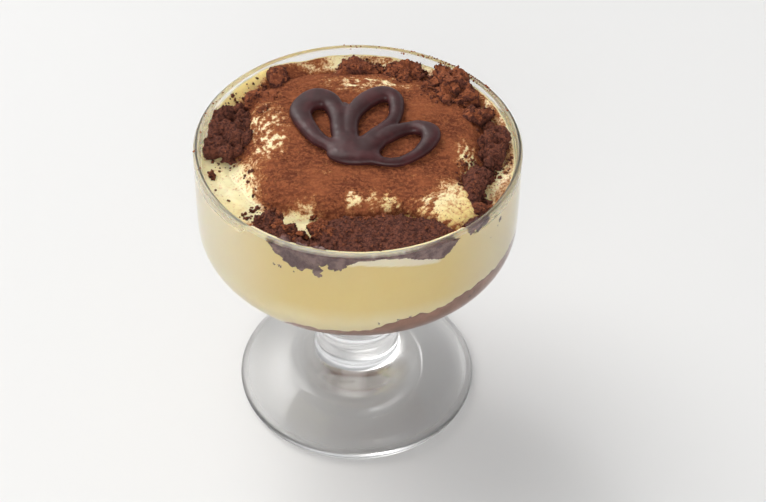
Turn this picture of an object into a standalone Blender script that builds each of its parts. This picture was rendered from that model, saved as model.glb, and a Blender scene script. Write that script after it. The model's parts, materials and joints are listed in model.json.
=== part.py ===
"""A single tiramisu in a footed glass: sponge, cream, sponge pieces, a cocoa-dusted mound and a garnish.

Units are metres, +Z is up, and the origin is the centre of the foot's underside.
"""

import math

import bmesh
import bpy
from mathutils import Euler, Vector, noise

MM = 0.001

# The glass.
HEIGHT = 94 * MM
SEGMENTS = 40
RIM_RADIUS = 45 * MM
BELLY_RADIUS = 45.4 * MM
BELLY_Z = 70 * MM
INNER_RADIUS = 43 * MM
LIP_RADIUS = (RIM_RADIUS - INNER_RADIUS) / 2
BOWL_DEPTH = 17.5 * MM
INNER_DEPTH = 12.7 * MM
BOWL_POWER = 2.45
BOWL_STEPS = 7
STEM_JOIN_RADIUS = 18 * MM
STEM_RADIUS = 13 * MM
STEM_WAIST = 12.1 * MM
STEM_TOP_Z = 48.5 * MM
STEM_WAIST_Z = 32 * MM
COLLAR_Z = 20 * MM
COLLAR_HEIGHT = 2 * MM
COVE_STEPS = 3
COVE_ROUND = 0.8
FOOT_RING_RADIUS = 18.5 * MM
FOOT_RING_Z = 7.4 * MM
PLATE_RADIUS = 26 * MM
PLATE_Z = 5.2 * MM
FOOT_RADIUS = 36.5 * MM
FOOT_EDGE_RADIUS = 1.4 * MM
FOOT_EDGE_Z = 1.6 * MM
REST_OUTER = 34 * MM
REST_INNER = 29 * MM
PUNT_DEPTH = 2.2 * MM

# What fills it.
GAP = 0.3 * MM
BASE_LEVEL = 66 * MM
BASE_SLOPE = 0.11
BASE_WAVE = 0.7 * MM
BASE_WAVE_SIZE = (9 * MM, 13 * MM)
FILL_RADIUS = INNER_RADIUS - GAP
FILL_LEVEL = HEIGHT - 4.9 * MM
FILL_BACK_RISE = 2.2 * MM
FILL_FRONT_RISE = 1.2 * MM
FILL_SAG = 0.9 * MM
FILL_WALL_START = 0.7
BASE_RINGS = (0.38, 0.75)
FILL_RINGS = (0.93, 0.84, 0.74)

# The mound of cream on top.
MOUND_CENTRE = (0.5 * MM, 4.0 * MM)
MOUND_HALF_X = 31.5 * MM
MOUND_HALF_Y = 27.5 * MM
MOUND_POWER = 2.5
MOUND_TOP = HEIGHT - 0.2 * MM
MOUND_FLOOR = HEIGHT - 7.2 * MM
MOUND_SEGMENTS = 36
# Its side, as shares of its reach and of its height: tucked in below, full at the middle.
MOUND_SIDE = (
    (0.55, 0.0),
    (0.93, 0.1),
    (1.0, 0.4),
    (0.97, 0.66),
    (0.88, 0.83),
    (0.7, 0.94),
    (0.4, 1.0),
)
LOBE_ANGLE = math.radians(-49)
LOBE_REACH = 13.5 * MM
LOBE_SPREAD = 0.26

# The chocolate garnish.
STRAND_HALF_WIDTH = 2.8 * MM
STRAND_HALF_HEIGHT = 2.1 * MM
STRAND_SINK = 0.62
STRAND_STEPS = 18
STRAND_SIDES = 8
GARNISH_FLOOR = MOUND_TOP + GAP
HEEL_HALF_HEIGHT = 2.4 * MM
PETAL_ROOT = 0.35
PETAL_SPREAD = 0.75

GLASS_COLOUR = (0.86, 0.88, 0.86)
CREAM_COLOUR = (0.86, 0.74, 0.44)
SPONGE_COLOUR = (0.085, 0.038, 0.026)
WET_SPONGE_COLOUR = (0.16, 0.09, 0.07)
CHOCOLATE_COLOUR = (0.05, 0.03, 0.032)

# Each piece of sponge: centre x, y and depth of its middle under the rim, half sizes, turn about
# Z and tilt about X in degrees, and how many times its round start is subdivided. Millimetres.
SPONGE_PIECES = {
    "sponge_front": ((6, -35.4, 3.9), (19.5, 7.6, 3.3), 2, 0, 3),
    "sponge_left": ((-37.2, 7.0, 4.8), (6.2, 11.8, 4.4), 2, 0, 3),
    "sponge_right": ((38.2, 1.4, 4.4), (4.3, 9.8, 4.6), -1, 0, 3),
    "sponge_ridge": ((26.4, 25.2, 2.2), (7.6, 5.2, 4.8), -44, 12, 3),
    "sponge_left_back": ((-31.6, 24.6, 4.2), (6.2, 3.5, 3.4), 50, 0, 2),
    "sponge_back_left": ((-23.4, 32.2, 3.2), (3.2, 3.0, 3.2), 0, 0, 2),
    "sponge_back": ((0.8, 37.2, 4.2), (7.2, 3.8, 3.4), -3, 0, 2),
    "sponge_back_right": ((14.0, 33.8, 3.8), (6.0, 4.2, 3.7), -22, 0, 2),
    "sponge_right_back": ((34.0, 15.0, 3.8), (3.5, 3.2, 3.4), 0, 0, 2),
    "sponge_lobe_side": ((30.6, -11.4, 4.4), (3.1, 7.2, 4.1), -14, 0, 2),
    "sponge_front_right": ((33.0, -23.6, 4.8), (2.5, 3.9, 2.9), -34, 0, 2),
    "sponge_front_left": ((-26.0, -24.0, 4.6), (4.3, 3.6, 3.3), 30, 0, 2),
    "sponge_left_front": ((-21.0, -33.8, 5.4), (6.8, 4.5, 4.3), -28, 0, 2),
}
PIECE_POWER = 3.0
PIECE_ROUGHNESS = 0.2
PIECE_LUMP_SIZE = 1.9
PIECE_CLEARANCE = 0.5 * MM

# Each petal of the garnish: base x and y, the way it points in degrees, length and half width.
PETALS = {
    "chocolate_garnish": ((-5.6, -5.2), 105, 24.6, 7.2),
    "middle_petal": ((-0.2, -5.0), 69, 25.4, 6.2),
    "right_petal": ((2.4, -6.6), 21, 18.6, 5.6),
}
GARNISH_HEEL = ((0.4, -7.0), (9.2, 3.5), -6)


def clear_scene():
    for thing in list(bpy.data.objects):
        bpy.data.objects.remove(thing, do_unlink=True)


def make_material(name, colour, roughness, transmission=0.0):
    material = bpy.data.materials.new(name)
    material.use_nodes = True
    shader = material.node_tree.nodes["Principled BSDF"]
    shader.inputs["Base Color"].default_value = (*colour, 1)
    shader.inputs["Roughness"].default_value = roughness
    shader.inputs["Metallic"].default_value = 0.0
    shader.inputs["Transmission Weight"].default_value = transmission
    return material


def add_object(name, mesh, material=None):
    mesh.shade_smooth()
    mesh.set_sharp_from_angle(angle=math.radians(40))
    obj = bpy.data.objects.new(name, mesh)
    bpy.context.scene.collection.objects.link(obj)
    if material:
        mesh.materials.append(material)
    return obj


def make_helper(obj):
    """Keeps a cutter out of the finished part."""
    obj.hide_render = True
    obj.display_type = "WIRE"
    return obj


def add_boolean(obj, operation, other):
    """A Boolean with one object, or with every object of a collection."""
    modifier = obj.modifiers.new(operation.title(), "BOOLEAN")
    modifier.operation = operation
    modifier.solver = "EXACT"
    modifier.use_self = operation == "UNION"
    if isinstance(other, bpy.types.Collection):
        modifier.operand_type = "COLLECTION"
        modifier.collection = other
    else:
        modifier.object = other


def mesh_from(name, bm):
    bmesh.ops.recalc_face_normals(bm, faces=bm.faces)
    mesh = bpy.data.meshes.new(name)
    bm.to_mesh(mesh)
    bm.free()
    return mesh


# --- The glass -----------------------------------------------------------------------------------


def bowl_curve(radius, depth, steps, last_radius=0.0):
    """The underside of a bowl from its belly down, as (radius, z) points of a superellipse."""
    points = []
    for step in range(steps + 1):
        angle = math.pi / 2 * step / steps
        across = radius * math.cos(angle) ** (2 / BOWL_POWER)
        down = depth * math.sin(angle) ** (2 / BOWL_POWER)
        if across < last_radius:
            break
        points.append((across if step < steps else 0.0, BELLY_Z - down))
    return points


def smooth_through(points, steps):
    """A Catmull-Rom curve through the points, with as many steps between each two."""
    padded = [points[0], *points, points[-1]]
    curve = []
    for index in range(1, len(padded) - 2):
        before, start, end, after = (Vector(p) for p in padded[index - 1 : index + 3])
        for step in range(steps):
            t = step / steps
            curve.append(
                0.5
                * (
                    2 * start
                    + (end - before) * t
                    + (2 * before - 5 * start + 4 * end - after) * t**2
                    + (3 * start - before - 3 * end + after) * t**3
                )
            )
    curve.append(Vector(points[-1]))
    return [tuple(point) for point in curve]


def arc(centre, radius, start, stop, steps):
    """Points of an arc from one angle to another, in degrees, both ends included."""
    turns = [math.radians(start + (stop - start) * i / steps) for i in range(steps + 1)]
    return [
        (centre[0] + radius * math.cos(turn), centre[1] + radius * math.sin(turn))
        for turn in turns
    ]


def cove_curve(start, end, steps):
    """The hollow run from the collar down to the foot: a quarter of an oval, both ends included."""
    points = []
    for step in range(steps + 1):
        angle = math.pi / 2 * step / steps
        across = end[0] + (start[0] - end[0]) * math.cos(angle) ** COVE_ROUND
        down = start[1] + (end[1] - start[1]) * math.sin(angle) ** COVE_ROUND
        points.append((across, down))
    return points


def glass_outline():
    """From the bowl's floor up its inside, over the lip and down to the middle of the foot."""
    inside = bowl_curve(INNER_RADIUS, INNER_DEPTH, BOWL_STEPS)[::-1]
    lip = arc((RIM_RADIUS - LIP_RADIUS, HEIGHT - LIP_RADIUS), LIP_RADIUS, 180, 0, 4)
    side = [(BELLY_RADIUS - 0.1 * MM, (BELLY_Z + HEIGHT) / 2)]
    outside = bowl_curve(BELLY_RADIUS, BOWL_DEPTH, BOWL_STEPS + 1, STEM_JOIN_RADIUS)
    stem = smooth_through(
        [
            (STEM_RADIUS + 1.2 * MM, STEM_TOP_Z),
            (STEM_WAIST + 0.4 * MM, STEM_WAIST_Z + 10 * MM),
            (STEM_WAIST, STEM_WAIST_Z),
            (STEM_RADIUS, COLLAR_Z + COLLAR_HEIGHT),
        ],
        2,
    )
    cove = cove_curve(
        (STEM_RADIUS, COLLAR_Z), (FOOT_RING_RADIUS, FOOT_RING_Z), COVE_STEPS
    )
    plate = [(PLATE_RADIUS, PLATE_Z)]
    middle_of_edge = (FOOT_RADIUS - FOOT_EDGE_RADIUS, FOOT_EDGE_Z)
    edge = arc(middle_of_edge, FOOT_EDGE_RADIUS, 80, -70, 3)
    underside = [
        (REST_OUTER, 0.0),
        (REST_INNER, 0.0),
        (REST_INNER * 0.6, PUNT_DEPTH * 0.75),
        (0.0, PUNT_DEPTH),
    ]
    return inside + lip + side + outside + stem + cove + plate + edge + underside


def make_glass(material):
    bm = bmesh.new()
    corners = [bm.verts.new((r, 0, z)) for r, z in glass_outline()]
    for start, end in zip(corners, corners[1:]):
        bm.edges.new((start, end))
    mesh = bpy.data.meshes.new("glass")
    bm.to_mesh(mesh)
    bm.free()
    obj = add_object("glass", mesh, material)
    turn = obj.modifiers.new("Turn", "SCREW")
    turn.axis = "Z"
    turn.angle = math.tau
    turn.steps = SEGMENTS
    turn.render_steps = SEGMENTS
    turn.use_merge_vertices = True
    turn.merge_threshold = 0.00001
    turn.use_smooth_shade = True
    return obj


# --- Layers that fill the bowl -------------------------------------------------------------------


def base_top(x, y):
    """Height of the wet sponge at the bottom: higher to the right, with a slow wave."""
    wave = math.sin(x / BASE_WAVE_SIZE[0] + 1.2) * math.cos(y / BASE_WAVE_SIZE[1])
    return BASE_LEVEL + BASE_SLOPE * x + BASE_WAVE * wave


def fill_top(x, y):
    """Height of the cream: nearly level, higher against the glass at the back and front."""
    radius = math.hypot(x, y) / FILL_RADIUS
    back = max(0.0, y / FILL_RADIUS)
    front = max(0.0, -y / FILL_RADIUS)
    wall = max(0.0, (radius - FILL_WALL_START) / (1 - FILL_WALL_START)) ** 1.5
    rise = FILL_BACK_RISE * back**1.5 + FILL_FRONT_RISE * front**3
    return FILL_LEVEL - FILL_SAG * (1 - wall) + rise * wall


def wall_points(low, high):
    """Corners of the filling's wall between two heights, kept one gap inside the glass."""
    corners = bowl_curve(FILL_RADIUS, INNER_DEPTH - GAP, BOWL_STEPS)[::-1]
    return [(r, z) for r, z in corners if low < z < high]


def wall_radius(z):
    """Radius of that wall at a height, on the straight runs between its corners."""
    corners = bowl_curve(FILL_RADIUS, INNER_DEPTH - GAP, BOWL_STEPS)[::-1]
    for (r0, z0), (r1, z1) in zip(corners, corners[1:]):
        if z <= z1:
            return r0 + (r1 - r0) * (z - z0) / (z1 - z0)
    return FILL_RADIUS


def turned_solid(outline_at, segments):
    """A closed mesh whose outline, from pole to pole, may change with the angle."""
    bm = bmesh.new()
    columns = []
    for index in range(segments):
        angle = math.tau * index / segments
        columns.append((angle, outline_at(angle)))
    low, high = columns[0][1][0], columns[0][1][-1]
    foot = bm.verts.new(low)
    crown = bm.verts.new(high)
    rings = [[bm.verts.new(p) for p in outline[1:-1]] for _, outline in columns]
    for ring, after in zip(rings, rings[1:] + rings[:1]):
        bm.faces.new((foot, ring[0], after[0]))
        bm.faces.new((crown, after[-1], ring[-1]))
        for i in range(len(ring) - 1):
            bm.faces.new((ring[i], ring[i + 1], after[i + 1], after[i]))
    return bm


def at_angle(angle, radius, height, centre=(0.0, 0.0)):
    return (
        centre[0] + radius * math.cos(angle),
        centre[1] + radius * math.sin(angle),
        height,
    )


def on_surface(angle, radius, surface, lift=0.0):
    x, y, _ = at_angle(angle, radius, 0)
    return (x, y, surface(x, y) + lift)


def edge_height(angle, surface, lift=0.0):
    return on_surface(angle, FILL_RADIUS, surface, lift)[2]


def make_sponge_base(material):
    floor_z = BELLY_Z - INNER_DEPTH + GAP
    lowest_edge = min(
        edge_height(math.tau * i / SEGMENTS, base_top) for i in range(SEGMENTS)
    )
    wall = wall_points(floor_z + GAP, lowest_edge)

    def outline_at(angle):
        edge = edge_height(angle, base_top)
        points = [(0, 0, floor_z)]
        points += [at_angle(angle, r, z) for r, z in wall]
        points.append(at_angle(angle, wall_radius(edge), edge))
        for share in reversed(BASE_RINGS):
            points.append(on_surface(angle, share * FILL_RADIUS, base_top))
        points.append((0, 0, base_top(0, 0)))
        return points

    bm = turned_solid(outline_at, SEGMENTS)
    return add_object("sponge_base", mesh_from("sponge_base", bm), material)


def make_cream_filling(material, spaces):
    def outline_at(angle):
        low = edge_height(angle, base_top, GAP)
        high = edge_height(angle, fill_top)
        points = [(0, 0, base_top(0, 0) + GAP)]
        for share in BASE_RINGS:
            points.append(on_surface(angle, share * FILL_RADIUS, base_top, GAP))
        points.append(at_angle(angle, wall_radius(low), low))
        points.append(at_angle(angle, FILL_RADIUS, (BELLY_Z + HEIGHT) / 2))
        points.append(at_angle(angle, FILL_RADIUS, high))
        for share in FILL_RINGS:
            points.append(on_surface(angle, share * FILL_RADIUS, fill_top))
        points.append((0, 0, fill_top(0, 0)))
        return points

    bm = turned_solid(outline_at, SEGMENTS)
    obj = add_object("cream_filling", mesh_from("cream_filling", bm), material)
    add_boolean(obj, "DIFFERENCE", spaces)
    return obj


# --- The mound of cream --------------------------------------------------------------------------


def mound_radius(angle):
    """Reach of the mound's edge: an oval with soft waves and one lobe spilling to the front right."""
    across = abs(math.cos(angle) / MOUND_HALF_X) ** MOUND_POWER
    along = abs(math.sin(angle) / MOUND_HALF_Y) ** MOUND_POWER
    oval = (across + along) ** (-1 / MOUND_POWER)
    waves = 0.018 * math.sin(3 * angle + 0.6) + 0.012 * math.sin(5 * angle + 2.0)
    away = math.remainder(angle - LOBE_ANGLE, math.tau) / LOBE_SPREAD
    return oval * (1 + waves) + LOBE_REACH * math.exp(-(away**4))


def mound_points(angle, grow=0.0):
    """The mound's outline at an angle, from the middle of its floor to the middle of its top."""
    reach = mound_radius(angle)
    height = MOUND_TOP - MOUND_FLOOR
    side = [(reach * out, MOUND_FLOOR + height * up) for out, up in MOUND_SIDE]
    points = [(0, MOUND_FLOOR), *side, (0, MOUND_TOP)]
    middle_z = MOUND_FLOOR + height / 2
    return [
        at_angle(
            angle,
            radius + (grow if radius > reach * 0.8 else 0),
            z + math.copysign(grow, z - middle_z),
            MOUND_CENTRE,
        )
        for radius, z in points
    ]


def make_mound(material, spaces):
    bm = turned_solid(mound_points, MOUND_SEGMENTS)
    obj = add_object("cream_top", mesh_from("cream_top", bm), material)
    add_boolean(obj, "DIFFERENCE", spaces)
    return obj


def make_mound_space():
    bm = turned_solid(lambda angle: mound_points(angle, GAP), MOUND_SEGMENTS)
    return make_helper(add_object("mound_space", mesh_from("mound_space", bm)))


# --- Sponge pieces -------------------------------------------------------------------------------


def lump(place, half_size, turn, tilt, subdivisions, seed, grow):
    """A squarish, uneven lump of sponge, as a mesh in its place and grown by a clearance."""
    bm = bmesh.new()
    bmesh.ops.create_icosphere(bm, subdivisions=subdivisions, radius=1)
    rotation = Euler((math.radians(tilt), 0, math.radians(turn))).to_matrix()
    middle = Vector((place[0] * MM, place[1] * MM, HEIGHT - place[2] * MM))
    for vert in bm.verts:
        way = vert.co.normalized()
        size = sum(abs(part) ** PIECE_POWER for part in way) ** (-1 / PIECE_POWER)
        uneven = noise.noise(way * PIECE_LUMP_SIZE + Vector((seed, 0, 0)))
        reach = way * size * (1 + PIECE_ROUGHNESS * uneven)
        scaled = Vector(reach[i] * half_size[i] * MM for i in range(3))
        vert.co = middle + rotation @ scaled
    bm.normal_update()
    normals = [vert.normal.copy() for vert in bm.verts]
    for vert, normal in zip(bm.verts, normals):
        vert.co += normal * grow
    return bm


def make_bowl_space():
    """The room inside the glass, which trims the pieces that are pressed against its wall."""
    top = HEIGHT + 10 * MM

    def outline_at(angle):
        low = at_angle(angle, FILL_RADIUS, BELLY_Z)
        high = at_angle(angle, FILL_RADIUS, top)
        return [(0, 0, BELLY_Z), low, high, (0, 0, top)]

    bm = turned_solid(outline_at, SEGMENTS)
    return make_helper(add_object("bowl_space", mesh_from("bowl_space", bm)))


def make_sponge_pieces(material, bowl_space, spaces):
    for seed, (name, (place, half_size, turn, tilt, subdivisions)) in enumerate(
        SPONGE_PIECES.items(), start=3
    ):
        piece = (place, half_size, turn, tilt, subdivisions, seed)
        bm = lump(*piece, grow=0.0)
        furthest = max(math.hypot(v.co.x, v.co.y) for v in bm.verts)
        obj = add_object(name, mesh_from(name, bm), material)
        if furthest > FILL_RADIUS * math.cos(math.pi / SEGMENTS):
            add_boolean(obj, "INTERSECT", bowl_space)
        grown = mesh_from(name + "_space", lump(*piece, grow=PIECE_CLEARANCE))
        space = make_helper(add_object(name + "_space", grown))
        spaces.objects.link(space)


# --- The garnish ---------------------------------------------------------------------------------


def petal_line(base, way, length, half_width):
    """Centre line of a piped loop: a teardrop that starts and ends at its base."""
    along = Vector((math.cos(math.radians(way)), math.sin(math.radians(way))))
    across = Vector((-along.y, along.x))
    points = []
    for step in range(STRAND_STEPS):
        turn = math.tau * step / STRAND_STEPS
        share = (1 - math.cos(turn)) / 2
        side = half_width * math.sin(turn) * (PETAL_ROOT + PETAL_SPREAD * share)
        points.append(Vector(base) + along * length * share + across * side)
    return [Vector((x * MM, y * MM)) for x, y in points]


def strand(points):
    """A closed piped strand with an oval section, lying on the garnish's floor."""
    bm = bmesh.new()
    rings = []
    middle_z = GARNISH_FLOOR + STRAND_SINK * STRAND_HALF_HEIGHT
    for index, point in enumerate(points):
        ahead = (points[(index + 1) % len(points)] - points[index - 1]).normalized()
        side = Vector((-ahead.y, ahead.x))
        ring = []
        for corner in range(STRAND_SIDES):
            angle = math.tau * (corner + 0.5) / STRAND_SIDES
            offset = side * STRAND_HALF_WIDTH * math.cos(angle)
            height = middle_z + STRAND_HALF_HEIGHT * math.sin(angle)
            ring.append(bm.verts.new((point.x + offset.x, point.y + offset.y, height)))
        rings.append(ring)
    for ring, after in zip(rings, rings[1:] + rings[:1]):
        for i in range(STRAND_SIDES):
            j = (i + 1) % STRAND_SIDES
            bm.faces.new((ring[i], ring[j], after[j], after[i]))
    return bm


def make_heel():
    """The drop of chocolate where the loops meet."""
    (x, y), (half_length, half_width), turn = GARNISH_HEEL
    bm = bmesh.new()
    bmesh.ops.create_icosphere(bm, subdivisions=2, radius=1)
    size = Vector((half_length * MM, half_width * MM, HEEL_HALF_HEIGHT))
    rotation = Euler((0, 0, math.radians(turn))).to_matrix()
    middle = Vector((x * MM, y * MM, GARNISH_FLOOR + HEEL_HALF_HEIGHT * 0.45))
    for vert in bm.verts:
        vert.co = middle + rotation @ (vert.co * size)
    return make_helper(add_object("heel", mesh_from("heel", bm)))


def make_garnish(material):
    loops = [
        add_object(name, mesh_from(name, strand(petal_line(*petal))))
        for name, petal in PETALS.items()
    ]
    garnish = loops[0]
    garnish.data.materials.append(material)
    for other in [*loops[1:], make_heel()]:
        add_boolean(garnish, "UNION", make_helper(other))
    block = 100 * MM
    bm = bmesh.new()
    bmesh.ops.create_cube(bm, size=block)
    bmesh.ops.translate(bm, verts=bm.verts, vec=(0, 0, GARNISH_FLOOR - block / 2))
    under = make_helper(add_object("under_garnish", mesh_from("under_garnish", bm)))
    add_boolean(garnish, "DIFFERENCE", under)
    return garnish


def main():
    clear_scene()
    spaces = bpy.data.collections.new("sponge_spaces")
    bpy.context.scene.collection.children.link(spaces)
    spaces.hide_render = True
    sponge = make_material("chocolate_sponge", SPONGE_COLOUR, 0.9)
    cream = make_material("mascarpone_cream", CREAM_COLOUR, 0.45)
    make_glass(make_material("clear_glass", GLASS_COLOUR, 0.02, transmission=1.0))
    make_sponge_base(make_material("wet_sponge", WET_SPONGE_COLOUR, 0.7))
    make_sponge_pieces(sponge, make_bowl_space(), spaces)
    filling = make_cream_filling(cream, spaces)
    add_boolean(filling, "DIFFERENCE", make_mound_space())
    make_mound(cream.copy(), spaces)
    make_garnish(make_material("dark_chocolate", CHOCOLATE_COLOUR, 0.3))


main()
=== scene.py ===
"""Finish of a single tiramisu in a footed glass, around its solids.

The glass is refined, and the sponge, cream, cocoa and chocolate get their real surfaces. Metres, +Z up.
"""

import json
import math

import bmesh
import bpy
import numpy as np
from bpy.props import FloatProperty, FloatVectorProperty, IntProperty, PointerProperty
from mathutils import Euler, Matrix, Vector, noise
from mathutils.bvhtree import BVHTree

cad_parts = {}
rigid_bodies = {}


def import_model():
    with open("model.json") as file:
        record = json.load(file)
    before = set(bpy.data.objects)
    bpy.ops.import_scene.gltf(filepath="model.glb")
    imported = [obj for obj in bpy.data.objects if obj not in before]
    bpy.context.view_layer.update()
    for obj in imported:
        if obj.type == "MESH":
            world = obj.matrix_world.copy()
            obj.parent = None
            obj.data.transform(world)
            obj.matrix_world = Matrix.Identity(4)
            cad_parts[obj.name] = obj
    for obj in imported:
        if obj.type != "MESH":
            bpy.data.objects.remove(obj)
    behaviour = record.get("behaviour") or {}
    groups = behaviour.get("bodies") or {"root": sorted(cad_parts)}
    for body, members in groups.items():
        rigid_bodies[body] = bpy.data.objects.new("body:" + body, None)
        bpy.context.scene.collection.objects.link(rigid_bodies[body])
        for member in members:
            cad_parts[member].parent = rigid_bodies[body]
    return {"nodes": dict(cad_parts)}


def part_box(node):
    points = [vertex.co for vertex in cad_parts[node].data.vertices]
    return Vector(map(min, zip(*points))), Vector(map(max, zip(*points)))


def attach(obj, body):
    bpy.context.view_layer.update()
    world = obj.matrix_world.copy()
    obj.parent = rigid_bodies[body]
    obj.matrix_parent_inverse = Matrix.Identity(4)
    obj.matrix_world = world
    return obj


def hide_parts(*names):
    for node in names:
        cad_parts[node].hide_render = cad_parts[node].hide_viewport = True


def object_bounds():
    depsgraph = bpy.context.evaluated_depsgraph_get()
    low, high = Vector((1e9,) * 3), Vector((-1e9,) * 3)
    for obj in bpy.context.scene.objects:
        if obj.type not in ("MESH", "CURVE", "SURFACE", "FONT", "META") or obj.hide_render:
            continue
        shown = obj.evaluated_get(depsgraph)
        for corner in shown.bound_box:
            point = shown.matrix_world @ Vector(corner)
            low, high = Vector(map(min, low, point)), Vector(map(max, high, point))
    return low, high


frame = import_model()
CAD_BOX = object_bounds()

bl_info = {
    "name": "Tiramisu Glass",
    "version": (1, 0, 0),
    "blender": (4, 5, 0),
    "location": "View3D > Sidebar > Tiramisu",
    "description": "Dresses a single tiramisu in a footed glass",
    "category": "Object",
}

MM = 0.001
TOP = CAD_BOX[1].z - 0.05 * MM

# The glass, inside and out.
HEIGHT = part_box("glass")[1].z
BELLY_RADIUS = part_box("glass")[1].x
BELLY_Z = 70 * MM
RIM_RADIUS = 45 * MM
INNER_RADIUS = 43 * MM
LIP_RADIUS = 0.8 * MM
LIP_START = HEIGHT - 4 * MM
LIP_THINNING = 0.4 * MM
BOWL_DEPTH = 17.5 * MM
INNER_DEPTH = 12.7 * MM
BOWL_POWER = 2.45
STEM_JOIN_RADIUS = 18 * MM
COLLAR_Z = 20 * MM
FOOT_RADIUS = 36.5 * MM
# How dull the foot and its edge are, as shares of the lip's dullness.
FOOT_WEAR = 0.3
EDGE_WEAR = 0.5

# How far each filling reaches into the wall, so that no air lies between them.
CREAM_BITE = 0.1 * MM
CREAM_BITE_AT_LIP = 0.15 * MM
SPONGE_BITE = 0.2 * MM
SPONGE_BITE_LOST_AT_LIP = 0.7 * MM

# The cream is smeared up the wall at the front, and the sponge touches the glass only below that.
SMEAR_TOP = HEIGHT - 0.45 * MM
SMEAR_FOOT = HEIGHT - 1.4 * MM
SMEAR_HALF_WIDTH = 27 * MM
# A painted highlight under the front band, as a paler strip of cream: its middle in x, half length and
# height. Millimetres.
HIGHLIGHT_STRIP_MIDDLE = 9.5
HIGHLIGHT_STRIP_HALF_LENGTH = 12.5
HIGHLIGHT_STRIP_HEIGHT = 2.3
# The lower edge of the sponge that is pressed against the front: x and height below the rim.
# Millimetres.
FRONT_BAND = (
    (-25.0, 0.0), (-22.6, -1.6), (-20.4, -4.2), (-18.0, -6.2), (-14.9, -7.2), (-11.9, -7.8), (-9.8, -5.5),
    (-7.3, -3.4), (-5.0, -4.6), (-2.3, -4.4), (0.6, -2.9), (6.1, -2.6), (11.5, -3.4), (17.4, -5.6),
    (20.8, -7.4), (23.0, -6.0), (24.6, -3.9), (26.0, -1.0),
)

# Levels of the fillings. The soaked sponge slopes, dips at the left and is banked up at the front.
BASE_LEVEL = 66 * MM
BASE_SLOPE = 0.11
BASE_DIP = 0.35
BASE_DIP_START = 17 * MM
BASE_WAVE = 0.7 * MM
BASE_WAVE_SIZE = (9 * MM, 13 * MM)
BASE_BANK = 1.5 * MM
BASE_BANK_X = 11.5 * MM
BASE_BANK_HALF = 7 * MM
FILL_LEVEL = HEIGHT - 4.9 * MM
FILL_BACK_RISE = 2.2 * MM
FILL_FRONT_RISE = 1.2 * MM
FILL_SAG = 0.9 * MM
# Where the cream climbs higher up the glass: direction and spread in degrees, and rise.
FILL_BANKS = ((141, 23, 2.1 * MM), (14, 36, 1.9 * MM))
FILL_WALL_START = 0.7
# Shares of the reach at which the cream's underside has its rings, and rings up its wall.
BOTTOM_RINGS = (0.15, 0.4, 0.65, 0.85)
WALL_RINGS = 70
# The solids are trimmed beside the glass by a wall with this many sides.
SOLID_WALL = 42.7 * MM
SOLID_SEGMENTS = 40

# The mound of cream, and the lobe that spills from it to the front right, which crumbs keep off.
MOUND_CENTRE = np.array((0.5 * MM, 4.0 * MM))
MOUND_HALF_X = 31.5 * MM
MOUND_HALF_Y = 27.5 * MM
MOUND_HALF_BACK = 30 * MM
MOUND_POWER = 2.5
MOUND_TOP = HEIGHT - 0.2 * MM
MOUND_FLOOR = HEIGHT - 7.2 * MM
LOBE_ANGLE = math.radians(-49)
LOBE_REACH = 13.5 * MM
LOBE_SPREAD = 0.26
LOBE_TIP = 27.0 * MM, -26.5 * MM
LOBE_CLEAR = 6.5 * MM
# Its side from the floor up, as shares of its reach and height: where it slopes into the filling,
# and where it is tucked in under the lobe.
SLOPING_SIDE = (
    (0.9, 0.0), (1.2, 0.02), (1.27, 0.1), (1.19, 0.19), (1.11, 0.36), (1.04, 0.6),
    (0.97, 0.8), (0.88, 0.92), (0.7, 0.985), (0.4, 1.0),
)
TUCKED_SIDE = (
    (0.5, 0.0), (0.8, 0.03), (0.93, 0.12), (0.99, 0.27), (1.0, 0.42), (0.975, 0.57),
    (0.92, 0.71), (0.83, 0.84), (0.69, 0.94), (0.4, 1.0),
)

# How cocoa covers the cream away from the mound and on it, and how wide and long its streaks are.
THIN_COVER = 0.12
MOUND_COVER = 0.95
LEAST_COVER = 0.16
STREAK_WIDTH = 1.1
STREAK_LENGTH = 2.6
# Where the cream shows bare through the cocoa, and where cocoa lies beside the mound:
# centre x and y, half sizes, turn in degrees, strength. Millimetres.
BARE_PATCHES = (
    (27.0, -23.6, 6.6, 10.4, 14, 1.0),
    (19.0, -25.6, 6.4, 5.0, -8, 0.55),
    (30.0, -5.5, 3.8, 8.5, 10, 0.7),
    (-25.8, 8.6, 6.6, 13.5, 10, 0.53),
    (-23.6, -1.5, 4.0, 5.4, -20, 0.36),
    (2.0, 26.8, 14.5, 4.6, -4, 0.56),
    (-1.2, -22.0, 2.6, 3.4, 0, 0.7),
    (4.0, -22.0, 1.8, 3.4, 0, 0.62),
    (8.8, -22.8, 2.6, 4.0, 10, 0.72),
    (-15.2, -29.9, 5.8, 5.0, 0, 1.15),
    (-14.0, -23.4, 4.6, 3.2, 0, 0.44),
    (-8.6, -12.0, 1.3, 1.5, 0, 0.55),
    (-38.0, -17.0, 9.8, 12.6, -14, 2.0),
    (-34.0, 28.5, 10.0, 4.4, 50, 1.3),
)
DUSTED_PATCHES = (
    (-16.5, 33.5, 10.0, 4.2, -10, 1.1),
    (-13.0, 40.5, 5.0, 3.4, 0, 0.62),
    (5.0, 41.5, 7.5, 2.4, 0, 0.5),
    (39.0, 16.0, 3.2, 6.5, 20, 0.55),
    (38.5, -16.0, 4.0, 9.0, -30, 0.34),
    (41.0, 0.0, 3.0, 12.0, 0, 0.45),
    (29.0, 24.0, 9.5, 9.5, 0, 0.85),
    (33.5, 2.0, 5.0, 15.0, 0, 0.9),
    (-29.5, 17.0, 3.0, 5.0, 20, 0.7),
    (2.0, -27.0, 16.0, 3.2, 2, 1.0),
    (-24.0, -30.0, 6.0, 5.0, -30, 0.75),
)

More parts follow.
